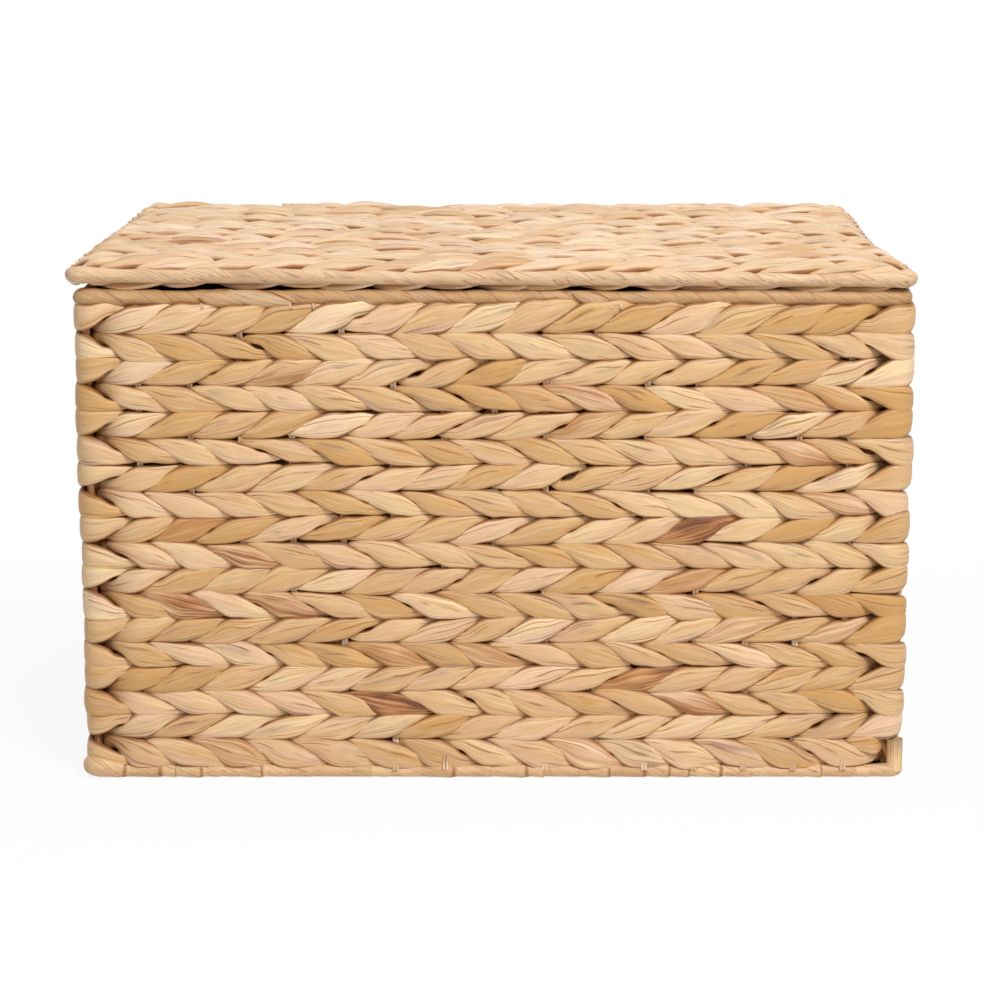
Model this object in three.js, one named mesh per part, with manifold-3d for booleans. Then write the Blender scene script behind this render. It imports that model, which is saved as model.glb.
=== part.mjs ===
// A woven lidded box: water hyacinth strands twined round the stakes of a cane frame, with
// strip-wrapped rims and a lid that turns on two wrapped loops along the back.
// Millimetres, +Z up, the front faces -Y, and the origin is the middle of the footprint on the floor.
import * as THREE from "three";
import { mergeVertices } from "three/addons/utils/BufferGeometryUtils.js";
import Module from "manifold-3d";

const wasm = await Module();
wasm.setup();

// Driving dimensions: the stakes and the rows
const STAKE_PITCH = 30.75; // from stake to stake
const FRONT_PITCHES = 16; // stake gaps along the front and the back
const SIDE_PITCHES = 10; // stake gaps along each side
const WALL_ROWS = 18;
const WALL_ROW_PITCH = 15.85; // from row to row up a wall
const LID_ROWS = 19;

// Driving dimensions: the canes
const STAKE_D = 3.4;
const POST_D = 4.6;
const RIM_CANE_D = 5.0;
const BASE_CANE_D = 4.6;
const CORNER_R = 6.0; // bend of the ring canes at a corner

// Driving dimensions: the strands of a row, measured out from the stakes they pass
const STRAND_CROWN = 5.6; // a strand at its fattest, in front of a stake
const CORNER_CROWN = 3.4; // the same where it is drawn tight round a corner post
const STRAND_EDGE = 2.2; // a strand at the edges of its row
const BACK_STRAND = 4.6; // the flatter strand behind the stakes
const BACK_BEVEL = 3.0; // how far its edges are rounded off towards the inside
const LEAN = 0.35; // how far a strand leans along its row, as a share of the stake pitch
const CROSSING = 9.0; // length of the crossing where the two strands of a row lock together

// Driving dimensions: the wrapped rims, across their flats
const TOP_WRAP_D = 9.6;
const BASE_WRAP_D = 8.0;
const LID_WRAP_D = 10.0;

// Driving dimensions: the lid and its loops
const LID_OVERHANG = 2.8; // lid ring beyond the body ring on every side
const LID_GAP = 3.5; // between the closed lid's rim and the body's rim
const LOOP_WIDTH = 23.0;
const LOOP_THICKNESS = 2.0;
const LOOP_STAKE_GAP = 4.5; // stake gaps from the middle of the back to each loop
const LID_OPEN_DEG = 95; // where the lid's back rim comes against the back wall

// Driving dimensions: the base mat
const MAT_THICKNESS = 13.6;
const MAT_GROOVE = 2.6; // how deep the grooves between its rows are
const MAT_ROWS = 18;

// Clearances
const CLEARANCE = 0.3; // between pieces that touch
const STAKE_PLAY = 0.45; // between a post and the strands that pass it

// Numbers of faces
const RING_CANE_SIDES = 6;
const STAKE_SIDES = 4;
const WRAP_SIDES = 8;
const LOOP_ARC_STEPS = 6;
const BEND_STEPS = 2; // of a ring at each corner

const MERGE_WITHIN = 1e-4; // vertices this close are one vertex
const ROUND = 2 * Math.PI;
const flatsToCorners = (sides) => 1 / Math.cos(Math.PI / sides);

// Places that follow from the driving dimensions
const postX = (FRONT_PITCHES * STAKE_PITCH) / 2;
const postY = (SIDE_PITCHES * STAKE_PITCH) / 2;
const cornerInset = CORNER_R * (1 - Math.SQRT1_2); // from the sharp corner to the bend's middle
const postSlot = POST_D / 2 + STAKE_PLAY; // half the slot in a wall row
const caneSlot = STAKE_D / 2 + STAKE_PLAY; // half the slot in a lid row
const rowHeight = WALL_ROW_PITCH - CLEARANCE;
const baseRingZ = BASE_WRAP_D / 2;
const baseCaneZ = baseRingZ + BASE_CANE_D / 2 + STAKE_D / 2 - CLEARANCE; // let in where they cross
const wallBottomZ = baseCaneZ + STAKE_D / 2 + CLEARANCE;
const wallTopZ = wallBottomZ + WALL_ROWS * WALL_ROW_PITCH;
const topRingZ = wallTopZ + TOP_WRAP_D / 2;
const lidZ = topRingZ + TOP_WRAP_D / 2 + LID_GAP + LID_WRAP_D / 2;
const lidX = postX + LID_OVERHANG;
const lidY = postY + LID_OVERHANG;
const lidWrapReach = (LID_WRAP_D / 2) * flatsToCorners(WRAP_SIDES);
const topWrapReach = (TOP_WRAP_D / 2) * flatsToCorners(WRAP_SIDES);
const lidRowPitch = (2 * (lidY - lidWrapReach) - CLEARANCE) / LID_ROWS;
const lidRowHalf = lidX - lidWrapReach - CLEARANCE;
const hinge = new THREE.Vector3(0, postY, topRingZ); // the loops turn round the back rim
const loopX = LOOP_STAKE_GAP * STAKE_PITCH;

const hyacinth = new THREE.MeshStandardMaterial({ color: 0xd9b483, roughness: 0.72, metalness: 0 });
const rimStrip = new THREE.MeshStandardMaterial({ color: 0xd0a878, roughness: 0.75, metalness: 0 });
const cane = new THREE.MeshStandardMaterial({ color: 0xe8dfcc, roughness: 0.55, metalness: 0.1 });

function named(name, geometry, material) {
  const mesh = new THREE.Mesh(geometry, material);
  mesh.name = name;
  return mesh;
}

// A solid for joining and cutting, from a closed geometry, and the geometry of a solid.
function solidOf(geometry) {
  const bare = geometry.clone();
  bare.deleteAttribute("normal");
  bare.deleteAttribute("uv");
  const merged = mergeVertices(bare, MERGE_WITHIN);
  const vertProperties = new Float32Array(merged.attributes.position.array);
  const triVerts = new Uint32Array(merged.index.array);
  return new wasm.Manifold(new wasm.Mesh({ numProp: 3, vertProperties, triVerts }));
}

function geometryOf(solid) {
  const { vertProperties, triVerts } = solid.getMesh();
  return new THREE.BufferGeometry()
    .setAttribute("position", new THREE.BufferAttribute(vertProperties, 3))
    .setIndex(new THREE.BufferAttribute(triVerts, 1));
}

// A closed skin put together from lines of vertices that run side by side. Each vertex on a line
// keeps s, its place along the run, so that lines with different numbers of vertices can be zipped.
class Skin {
  points = [];
  faces = [];

  line(places, at, lap = 0) {
    const vertices = places
      .map(({ s, d, z }) => ({ s, id: this.points.push(at(s, d, z)) - 1 }))
      .sort((a, b) => a.s - b.s);
    return lap ? [...vertices, { s: vertices[0].s + lap, id: vertices[0].id }] : vertices;
  }

  point(place) {
    return this.points.push(place) - 1;
  }

  quad(a, b, c, d) {
    this.faces.push(a, b, c, a, c, d);
  }

  // Seen with the run to the right, line b lies above line a.
  zip(a, b) {
    let [i, j] = [0, 0];
    while (i < a.length - 1 || j < b.length - 1) {
      const ahead = i < a.length - 1 ? Math.abs(a[i + 1].s - b[j].s) : Infinity;
      const above = j < b.length - 1 ? Math.abs(b[j + 1].s - a[i].s) : Infinity;
      if (ahead < above) {
        this.faces.push(a[i].id, a[i + 1].id, b[j].id);
        i += 1;
      } else {
        this.faces.push(a[i].id, b[j + 1].id, b[j].id);
        j += 1;
      }
    }
  }

  fan(rim, apex) {
    rim.forEach((id, k) => this.faces.push(id, rim[(k + 1) % rim.length], apex));
  }

  geometry() {
    const position = new Float32Array(this.points.flatMap((p) => p.toArray()));
    return new THREE.BufferGeometry()
      .setAttribute("position", new THREE.BufferAttribute(position, 3))
      .setIndex(this.faces);
  }
}

// The stake line: a rectangle run round from the front left corner, seen from above against the
// clock, with the way out of the box on the right. A place is s along it, d out and z up.
const sides = [
  { pitches: FRONT_PITCHES, from: [-1, -1], along: [1, 0], out: [0, -1] },
  { pitches: SIDE_PITCHES, from: [1, -1], along: [0, 1], out: [1, 0] },
  { pitches: FRONT_PITCHES, from: [1, 1], along: [-1, 0], out: [0, 1] },
  { pitches: SIDE_PITCHES, from: [-1, 1], along: [0, -1], out: [-1, 0] },
].map((side, k, all) => ({
  ...side,
  start: all.slice(0, k).reduce((sum, { pitches }) => sum + pitches, 0) * STAKE_PITCH,
}));
const wallLap = 2 * (FRONT_PITCHES + SIDE_PITCHES) * STAKE_PITCH;
const corners = sides.map(({ start }) => start);

function onWall(s, d, z) {
  const run = THREE.MathUtils.euclideanModulo(s, wallLap);
  const k = sides.findLastIndex(({ start }) => start <= run);
  const { from, along, out, start } = sides[k];
  const before = sides[(k + sides.length - 1) % sides.length].out;
  const mitre = run === start ? 1 : 0;
  const [x, y] = [0, 1].map(
    (i) => from[i] * [postX, postY][i] + along[i] * (run - start) + d * (out[i] + mitre * before[i]),
  );
  return new THREE.Vector3(x, y, z);
}

// A straight row runs along X with its height along Z and its face towards -Y.
const onBar = (s, d, z) => new THREE.Vector3(s, -d, z);

// The vertices of a line between two places on it. A lap joins the end of the line to its start.
function span(line, from, to, lap) {
  const whole = lap ? line.slice(0, -1) : line;
  const laps = lap ? [-lap, 0, lap] : [0];
  return laps
    .flatMap((shift) => whole.map(({ s, id }) => ({ s: s + shift, id })))
    .filter(({ s }) => s > from - CLEARANCE && s < to + CLEARANCE)
    .map(({ id }) => id);
}

// One row of twining. In front of each stake a strand swells to a crown, and it dives behind its
// neighbour along a leaning crease. Behind the stakes runs the flatter back strand. The stakes
// stand in the slot between the two, and at the crossings the strands lock together.
function twinedRow(row) {
  const { at, lap, ends, crowns, creases, lean, turns, backTurns, crossings, slotHalf, height } = row;
  const skin = new Skin();
  const top = height / 2;
  const slotStops = crossings.flat();
  const edgeStops = [...ends, ...turns];
  const fixed = (stops, d, z) => stops.map((s) => ({ s, d, z }));
  const edge = (z, shift) =>
    [...fixed(edgeStops, slotHalf + STRAND_EDGE, z),
      ...fixed(creases.map((s) => s + shift), slotHalf + STRAND_EDGE, z)];
  const frontTop = skin.line(edge(top, lean), at, lap);
  const frontBottom = skin.line(edge(-top, -lean), at, lap);
  const [slotTop, slotBottom] = [top, -top].map((z) =>
    skin.line(fixed([...edgeStops, ...slotStops], slotHalf, z), at, lap));
  const [behindTop, behindBottom] = [top, -top].map((z) =>
    skin.line(fixed([...ends, ...backTurns, ...slotStops], -slotHalf, z), at, lap));
  const [backTop, backBottom] = [top - BACK_BEVEL, BACK_BEVEL - top].map((z) =>
    skin.line(fixed(edgeStops, -slotHalf - BACK_STRAND, z), at, lap));

  // The strands in front, each a leaning lozenge that rises to its crown
  const breaks = lap
    ? [{ s: creases.at(-1) - lap, lean }, ...creases.map((s) => ({ s, lean }))]
    : [{ s: ends[0], lean: 0 }, ...creases.map((s) => ({ s, lean })), { s: ends[1], lean: 0 }];
  crowns.forEach(({ s, d }, k) => {
    const [left, right] = [breaks[k], breaks[k + 1]];
    const below = span(frontBottom, left.s - left.lean, right.s - right.lean, lap);
    const above = span(frontTop, left.s + left.lean, right.s + right.lean, lap);
    skin.fan([...below, ...above.reverse()], skin.point(at(s, slotHalf + d, 0)));
  });
  skin.zip(frontTop, slotTop);
  skin.zip(slotBottom, frontBottom);
  skin.zip(behindTop, backTop);
  skin.zip(backTop, backBottom);
  skin.zip(backBottom, behindBottom);

  // The slot between the strands, closed at each crossing
  const within = (line, from, to) => line.filter(({ s }) => s >= from && s <= to);
  const runFrom = slotTop[0].s;
  const runTo = slotTop.at(-1).s;
  const openFrom = [runFrom, ...crossings.map(([, to]) => to)];
  const openTo = [...crossings.map(([from]) => from), runTo];
  openFrom.forEach((from, k) => {
    if (from === openTo[k]) return; // a crossing at the very end leaves no slot there
    const part = (line) => {
      const lastLap = lap && openTo[k] === runTo;
      return line.filter(({ s }) => s >= from && (lastLap || s <= openTo[k]));
    };
    skin.zip(part(slotTop), part(slotBottom));
    skin.zip(part(behindBottom), part(behindTop));
  });
  crossings.forEach(([from, to]) => {
    skin.zip(within(slotTop, from, to), within(behindTop, from, to));
    skin.zip(within(behindBottom, from, to), within(slotBottom, from, to));
  });

  // The cheeks of the crossings, and the ends of a straight row
  const idAt = (line, s) => line.find((v) => v.s === s).id;
  const cheek = (s, [a, b], [c, d], turned) => {
    const loop = [a, b, d, c].map((line) => idAt(line, s));
    skin.quad(...(turned ? loop.reverse() : loop));
  };
  const slot = [slotBottom, slotTop];
  const behind = [behindBottom, behindTop];
  crossings.forEach(([from, to]) => {
    if (from !== ends[0]) cheek(from, slot, behind, false);
    if (to !== ends[1]) cheek(to, slot, behind, true);
  });
  ends.forEach((s, k) => {
    cheek(s, [frontBottom, frontTop], slot, k === 1);
    cheek(s, slot, behind, k === 1);
    cheek(s, behind, [backBottom, backTop], k === 1);
  });
  return skin.geometry();
}

// A wall row runs right round the box. Its crossing is in the middle gap of the back.
function wallRow(lean) {
  const count = 2 * (FRONT_PITCHES + SIDE_PITCHES);
  const stakes = Array.from({ length: count }, (_, k) => k * STAKE_PITCH);
  const gapMiddle = corners[2] + (Math.floor(FRONT_PITCHES / 2) + 0.5) * STAKE_PITCH;
  return twinedRow({
    at: onWall,
    lap: wallLap,
    ends: [],
    crowns: stakes.map((s) => ({ s, d: corners.includes(s) ? CORNER_CROWN : STRAND_CROWN })),
    creases: stakes.map((s) => s + STAKE_PITCH / 2),
    lean: lean * LEAN * STAKE_PITCH,
    turns: corners,
    backTurns: corners
      .flatMap((s) => [s - CORNER_R, s + CORNER_R])
      .map((s) => THREE.MathUtils.euclideanModulo(s, wallLap)),
    crossings: [[gapMiddle - CROSSING / 2, gapMiddle + CROSSING / 2]],
    slotHalf: postSlot,
    height: rowHeight,
  });
}

// A lid row runs from side to side, and its strands cross as they turn back at each end.
function lidRow(lean) {
  const creases = Array.from({ length: FRONT_PITCHES }, (_, k) => (k + 0.5) * STAKE_PITCH - postX);
  const canes = creases.slice(1).map((s) => s - STAKE_PITCH / 2);
  const endCrown = (lidRowHalf + creases.at(-1)) / 2;
  return twinedRow({
    at: onBar,
    lap: 0,
    ends: [-lidRowHalf, lidRowHalf],
    crowns: [
      { s: -endCrown, d: CORNER_CROWN },
      ...canes.map((s) => ({ s, d: STRAND_CROWN })),
      { s: endCrown, d: CORNER_CROWN },
    ],
    creases,
    lean: lean * LEAN * STAKE_PITCH,
    turns: [],
    backTurns: [],
    crossings: [[-lidRowHalf, CROSSING - lidRowHalf], [lidRowHalf - CROSSING, lidRowHalf]],
    slotHalf: caneSlot,
    height: lidRowPitch - CLEARANCE,
  });
}

// A closed section of (d, z) points, run round a rectangle with bent corners.
function ring(section, halfX, halfY) {
  const skin = new Skin();
  const bend = Array.from({ length: BEND_STEPS + 1 }, (_, k) => k / BEND_STEPS);
  const stations = [[1, -1], [1, 1], [-1, 1], [-1, -1]].flatMap(([x, y], corner) =>
    bend.map((turned) => ({
      centre: new THREE.Vector3(x * (halfX - CORNER_R), y * (halfY - CORNER_R), 0),
      angle: ((corner - 1 + turned) * Math.PI) / 2,
    })));
  const at = (s, d, z) => {
    const { centre, angle } = stations[s];
    const out = new THREE.Vector3(Math.cos(angle), Math.sin(angle), 0);
    return centre.clone().addScaledVector(out, CORNER_R + d).setZ(z);
  };
  const lines = section.map(({ x, y }) =>
    skin.line(stations.map((_, s) => ({ s, d: x, z: y })), at, stations.length));
  lines.forEach((line, k) => skin.zip(line, lines[(k + 1) % lines.length]));
  return skin.geometry();
}

const onCircle = (radius, angle, z) =>
  new THREE.Vector2(radius * Math.cos(angle), z + radius * Math.sin(angle));

function caneSection(diameter, z) {
  const step = ROUND / RING_CANE_SIDES;
  return Array.from({ length: RING_CANE_SIDES }, (_, k) => onCircle(diameter / 2, k * step, z));
}

// A wrapped rim's section: a tube round the ring cane with flats below and above, left open where
// the stakes come in, from half a slot short of one angle to half a slot past another. Angle 0 is
// outwards and a quarter turn is up.
function wrapSection(diameter, caneDiameter, z, from, to) {
  const toCorners = flatsToCorners(WRAP_SIDES);
  const step = ROUND / WRAP_SIDES;
  const arc = (radius) => {
    const slot = (half) => Math.asin(Math.min(1, half / radius));
    const [start, end] = [to.angle + slot(to.half), from.angle - slot(from.half) + ROUND];
    const turns = Array.from({ length: 2 * WRAP_SIDES }, (_, k) => (k + 0.5) * step);
    const bends = turns.filter((angle) => angle > start + step / 4 && angle < end - step / 4);
    return [start, ...bends, end].map((angle) => onCircle(radius, angle, z));
  };
  const outside = arc((diameter / 2) * toCorners);
  const bore = arc((caneDiameter / 2 + CLEARANCE) * toCorners);
  return [...outside, ...bore.toReversed()];
}

function rod(diameter, from, to) {
  const way = new THREE.Vector3().subVectors(to, from);
  const unturned = new THREE.Vector3(0, 1, 0);
  const turn = new THREE.Quaternion().setFromUnitVectors(unturned, way.clone().normalize());
  const middle = new THREE.Vector3().addVectors(from, to).divideScalar(2);
  const body = new THREE.CylinderGeometry(diameter / 2, diameter / 2, way.length(), STAKE_SIDES);
  return solidOf(body.applyQuaternion(turn).translate(...middle.toArray()));
}

const bind = (solids) => geometryOf(solids.reduce((frame, solid) => frame.add(solid)));
const stakeLine = (pitches) =>
  Array.from({ length: pitches - 1 }, (_, k) => (k + 1 - pitches / 2) * STAKE_PITCH);

// The body's frame: two ring canes, corner posts, side stakes, and U-shaped canes that run down
// the front, across the base and up the back.
function bodyFrame() {
  const upright = (diameter, x, y, z = baseRingZ) =>
    rod(diameter, new THREE.Vector3(x, y, z), new THREE.Vector3(x, y, topRingZ));
  const posts = [[1, 1], [1, -1], [-1, 1], [-1, -1]].map(([x, y]) =>
    upright(POST_D, x * (postX - cornerInset), y * (postY - cornerInset)));
  const sideStakes = stakeLine(SIDE_PITCHES).flatMap((y) =>
    [-postX, postX].map((x) => upright(STAKE_D, x, y)));
  const canes = stakeLine(FRONT_PITCHES).flatMap((x) => [
    upright(STAKE_D, x, -postY, baseCaneZ),
    upright(STAKE_D, x, postY, baseCaneZ),
    rod(STAKE_D, new THREE.Vector3(x, -postY, baseCaneZ), new THREE.Vector3(x, postY, baseCaneZ)),
  ]);
  return bind([
    solidOf(ring(caneSection(BASE_CANE_D, baseRingZ), postX, postY)),
    solidOf(ring(caneSection(RIM_CANE_D, topRingZ), postX, postY)),
    ...posts,
    ...sideStakes,
    ...canes,
  ]);
}

function lidFrame() {
  const cross = stakeLine(FRONT_PITCHES).map((x) =>
    rod(STAKE_D, new THREE.Vector3(x, -lidY, 0), new THREE.Vector3(x, lidY, 0)));
  return bind([solidOf(ring(caneSection(RIM_CANE_D, 0), lidX, lidY)), ...cross]);
}

// The base mat: rows woven side by side, drawn as one ribbed plate that the base canes run through.
function baseMat() {
  const reach = postSlot + BACK_STRAND + CLEARANCE;
  const [halfX, halfY] = [postX - reach, postY - reach];
  const row = (2 * halfY) / MAT_ROWS;
  const half = MAT_THICKNESS / 2;
  const ribs = Array.from({ length: MAT_ROWS }, (_, k) => [
    new THREE.Vector2(k * row - halfY, half - MAT_GROOVE),
    new THREE.Vector2((k + 0.5) * row - halfY, half),
  ]).flat();
  ribs.push(new THREE.Vector2(halfY, half - MAT_GROOVE));
  const under = ribs.map(({ x, y }) => new THREE.Vector2(-x, -y));
  const outline = new THREE.Shape([...ribs, ...under]);
  const plate = new THREE.ExtrudeGeometry(outline, { depth: 2 * halfX, bevelEnabled: false });
  plate.rotateY(Math.PI / 2).rotateX(Math.PI / 2).translate(-halfX, 0, 0);
  const channel = STAKE_D + 2 * CLEARANCE;
  const channels = stakeLine(FRONT_PITCHES).map((x) =>
    solidOf(new THREE.BoxGeometry(channel, 2 * postY, channel).translate(x, 0, 0)));
  return geometryOf(channels.reduce((mat, cut) => mat.subtract(cut), solidOf(plate)));
}

// A loop's outline round the body's rim at the origin and the lid's rim along +X.
function loopOutline(grow) {
  const length = Math.hypot(LID_OVERHANG, lidZ - topRingZ);
  const [body, lid] = [topWrapReach, lidWrapReach].map((reach) => reach + CLEARANCE + grow);
  const lean = Math.acos((body - lid) / length);
  const path = new THREE.Shape();
  path.absarc(length, 0, lid, -lean, lean);
  path.absarc(0, 0, body, lean, ROUND - lean);
  return path;
}

// A slice of a loop's outline, as wide along X as asked, turned as the lid is, round the hinge.
function loopSlice(outline, width, openDeg) {
  const slice = new THREE.ExtrudeGeometry(outline, {
    depth: width,
    bevelEnabled: false,
    curveSegments: LOOP_ARC_STEPS,
  });
  const rise = Math.atan2(lidZ - topRingZ, LID_OVERHANG) - THREE.MathUtils.degToRad(openDeg);
  return slice.translate(0, 0, -width / 2).rotateZ(rise).rotateY(Math.PI / 2).rotateX(Math.PI / 2);
}

function hingeLoop() {
  const outline = loopOutline(LOOP_THICKNESS);
  outline.holes.push(new THREE.Path(loopOutline(0).getPoints(LOOP_ARC_STEPS)));
  return loopSlice(outline, LOOP_WIDTH, 0);
}

// Room for both loops in a row that they pass, with the lid shut and, if asked, swung open.
function cutForLoops(geometry, openDegs, place) {
  const outline = loopOutline(LOOP_THICKNESS + CLEARANCE);
  const room = LOOP_WIDTH + 2 * CLEARANCE;
  const cuts = openDegs.flatMap((openDeg) => [-loopX, loopX].map((x) =>
    solidOf(loopSlice(outline, room, openDeg).translate(x, 0, 0).applyMatrix4(place))));
  return geometryOf(cuts.reduce((row, cut) => row.subtract(cut), solidOf(geometry)));
}

// The body
const body = new THREE.Group();
body.add(named("body_frame", bodyFrame(), cane));

const UP = Math.PI / 2;
const IN = Math.PI;
const stakesBelow = { angle: -UP, half: postSlot };
const stakesAbove = { angle: UP, half: postSlot };
const baseCanesInside = { angle: IN, half: 0 };
const topWrap = wrapSection(TOP_WRAP_D, RIM_CANE_D, topRingZ, stakesBelow, stakesBelow);
const baseWrap = wrapSection(BASE_WRAP_D, BASE_CANE_D, baseRingZ, stakesAbove, baseCanesInside);
body.add(named("top_rim_wrap", ring(topWrap, postX, postY), rimStrip));
body.add(named("base_rim_wrap", ring(baseWrap, postX, postY), rimStrip));

const mat = named("base_mat", baseMat(), hyacinth);
mat.position.z = baseCaneZ;
body.add(mat);

for (let k = 0; k < WALL_ROWS; k += 1) {
  const z = wallTopZ - (k + 0.5) * WALL_ROW_PITCH;
  const woven = wallRow(k % 2 ? -1 : 1);
  const toHinge = new THREE.Matrix4().makeTranslation(hinge.x, hinge.y, hinge.z - z);
  const geometry = k ? woven : cutForLoops(woven, [0, LID_OPEN_DEG], toHinge);
  const row = named(`wall_row_${String(k + 1).padStart(2, "0")}`, geometry, hyacinth);
  row.position.z = z;
  body.add(row);
}

// The lid, hung on the hinge line so that turning this group about -X opens it
const lid = new THREE.Group();
lid.position.copy(hinge);
const lidPlane = new THREE.Group();
lidPlane.position.set(0, -hinge.y, lidZ - hinge.z);
lid.add(lidPlane);

lidPlane.add(named("lid_frame", lidFrame(), cane));
const lidCanesInside = { angle: IN, half: STAKE_D / 2 + CLEARANCE };
const lidWrap = wrapSection(LID_WRAP_D, RIM_CANE_D, 0, lidCanesInside, lidCanesInside);
lidPlane.add(named("lid_rim_wrap", ring(lidWrap, lidX, lidY), rimStrip));

for (let k = 0; k < LID_ROWS; k += 1) {
  const y = (k + 0.5 - LID_ROWS / 2) * lidRowPitch;
  const flat = lidRow(k % 2 ? -1 : 1).rotateX(-UP);
  const toHinge = new THREE.Matrix4().makeTranslation(0, hinge.y - y, hinge.z - lidZ);
  const geometry = k === LID_ROWS - 1 ? cutForLoops(flat, [0], toHinge) : flat;
  const row = named(`lid_row_${String(k + 1).padStart(2, "0")}`, geometry, hyacinth);
  row.position.y = y;
  lidPlane.add(row);
}

for (const [side, x] of [["left", -loopX], ["right", loopX]]) {
  const loop = named(`hinge_loop_${side}`, hingeLoop(), rimStrip);
  loop.position.x = x;
  lid.add(loop);
}

const box = new THREE.Group();
box.add(body, lid);
export default box;
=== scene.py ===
# A woven lidded box of dried water hyacinth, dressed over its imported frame.
# Metres, +Z up, the front faces -Y. Lengths that are easier to read in millimetres carry MM.
import math

import bpy
import numpy as np
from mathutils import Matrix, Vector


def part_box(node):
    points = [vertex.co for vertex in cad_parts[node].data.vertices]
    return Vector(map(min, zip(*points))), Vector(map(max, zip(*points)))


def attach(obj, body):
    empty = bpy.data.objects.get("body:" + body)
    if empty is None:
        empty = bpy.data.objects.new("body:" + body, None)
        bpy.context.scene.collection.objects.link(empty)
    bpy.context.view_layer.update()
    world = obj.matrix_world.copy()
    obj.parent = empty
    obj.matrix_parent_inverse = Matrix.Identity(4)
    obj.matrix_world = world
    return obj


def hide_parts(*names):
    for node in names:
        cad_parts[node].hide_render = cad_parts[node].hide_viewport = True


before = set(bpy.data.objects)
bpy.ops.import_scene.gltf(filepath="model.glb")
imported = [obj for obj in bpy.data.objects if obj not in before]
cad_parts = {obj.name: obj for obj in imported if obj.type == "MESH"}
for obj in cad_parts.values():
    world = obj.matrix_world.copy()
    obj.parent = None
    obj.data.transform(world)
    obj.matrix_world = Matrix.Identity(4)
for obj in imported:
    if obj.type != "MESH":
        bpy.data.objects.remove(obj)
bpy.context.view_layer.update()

MM = 0.001
TAU = 2 * math.pi
UPWARD = (0.0, 0.0, 1.0)

# The weave, as counted in the photograph
WALL_ROWS = 18
LID_ROWS = 19
BASE_ROWS = 18
GAPS_WIDE = 16
GAPS_DEEP = 10
STAKES_ROUND = 2 * (GAPS_WIDE + GAPS_DEEP)

# Canes
STAKE_RADIUS = 1.7 * MM
SPLIT_RADIUS = 1.0 * MM
SPLIT_FORWARD = 2.6 * MM
POST_RADIUS = 2.3 * MM
RING_RADIUS = 2.5 * MM
RING_FLAT_SHARE = math.sin(math.pi / 3)
CORNER_BEND = 6.0 * MM
CANE_SIDES = 10
RING_STEPS = 240
CANE_GRAIN_PER_X = 7
CANE_GRAIN_PER_Y = 3

# The base rim, which stands a little outside the wall
BASE_RIM_RADIUS = 4.0 * MM
BASE_RIM_OUT = 3.6 * MM
BASE_RIM_RISE = 0.6 * MM

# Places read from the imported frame, whose ring canes are six-sided with a flat side up
_, ring_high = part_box("body_frame")
lid_low, lid_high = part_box("lid_frame")
_, top_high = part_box("top_rim_wrap")
base_low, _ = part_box("base_rim_wrap")
lid_rim_low, lid_rim_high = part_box("lid_rim_wrap")
mat_low, mat_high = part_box("base_mat")

stake_x = ring_high.x - RING_RADIUS
stake_y = ring_high.y - RING_RADIUS
pitch = 2 * stake_x / GAPS_WIDE
lid_x = lid_high.x - RING_RADIUS
lid_y = lid_high.y - RING_RADIUS
lid_z = (lid_low.z + lid_high.z) / 2
lid_rim_radius = (lid_rim_high.z - lid_rim_low.z) / 2
top_z = ring_high.z - RING_RADIUS * RING_FLAT_SHARE
top_rim_radius = top_high.z - top_z
base_z = base_low.z + BASE_RIM_RADIUS
base_x = stake_x + BASE_RIM_OUT
base_y = stake_y + BASE_RIM_OUT
base_level = base_z + BASE_RIM_RISE
mat_z = (mat_low.z + mat_high.z) / 2


# Mesh making

class Patch:
    """Vertices, faces and per-vertex values of one swept strip or tube."""

    def __init__(self, points, faces, **values):
        self.points = points
        self.faces = faces
        self.values = values


def unit(vectors):
    return vectors / np.linalg.norm(vectors, axis=-1, keepdims=True)


def grain_of(along, around, start):
    """The grain's own places on a tube: metres along it and around it, and a start of its own."""
    return np.stack(np.broadcast_arrays(along, around, start), -1)


def marks(grain, tone=0.0, stain=0.0, painted_shade=0.0, taper=0.0):
    """The values that the finish reads at each point of a tube, by name."""
    named = {"grain": grain, "tone": tone, "stain": stain, "painted_shade": painted_shade, "taper": taper}
    return {name: np.atleast_2d(value) for name, value in named.items()}


def sweep(centres, outs, ups, across, closed, values, upright=False):
    """A tube along centres. across holds each ring's (out, up) offsets, one row per station.

    The rings lie square to the tube, or upright, in the plane of outs and ups.
    """
    count, sides = across.shape[:2]
    if closed:
        tangents = np.roll(centres, -1, axis=0) - np.roll(centres, 1, axis=0)
    else:
        tangents = np.gradient(centres, axis=0)
    if not upright:
        tangents = unit(tangents)
        ups = unit(ups - tangents * (ups * tangents).sum(1, keepdims=True))
    sideways = np.cross(tangents, ups)
    facing = np.sign((sideways * outs).sum(1, keepdims=True))
    if not upright:
        outs = unit(sideways * facing)
    points = (
        centres[:, None]
        + outs[:, None] * across[..., :1]
        + ups[:, None] * across[..., 1:]
    )
    ring = np.arange(count if closed else count - 1)
    side = np.arange(sides)
    i, j = np.meshgrid(ring, side, indexing="ij")
    i2 = (i + 1) % count
    j2 = (j + 1) % sides
    quads = np.stack([i * sides + j, i2 * sides + j, i2 * sides + j2, i * sides + j2], -1)
    faces = quads.reshape(-1, 4).tolist()
    if not closed:
        faces.append(side[::-1].tolist())
        faces.append((side + (count - 1) * sides).tolist())
    if facing.mean() < 0:
        faces = [face[::-1] for face in faces]
    flat = {}
    for name, value in values.items():
        if value.ndim == 3:
            flat[name] = np.broadcast_to(value, (count, sides, 3)).reshape(-1, 3)
        else:
            flat[name] = np.broadcast_to(value, (count, sides)).reshape(-1)
    return Patch(points.reshape(-1, 3), faces, **flat)


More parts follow.
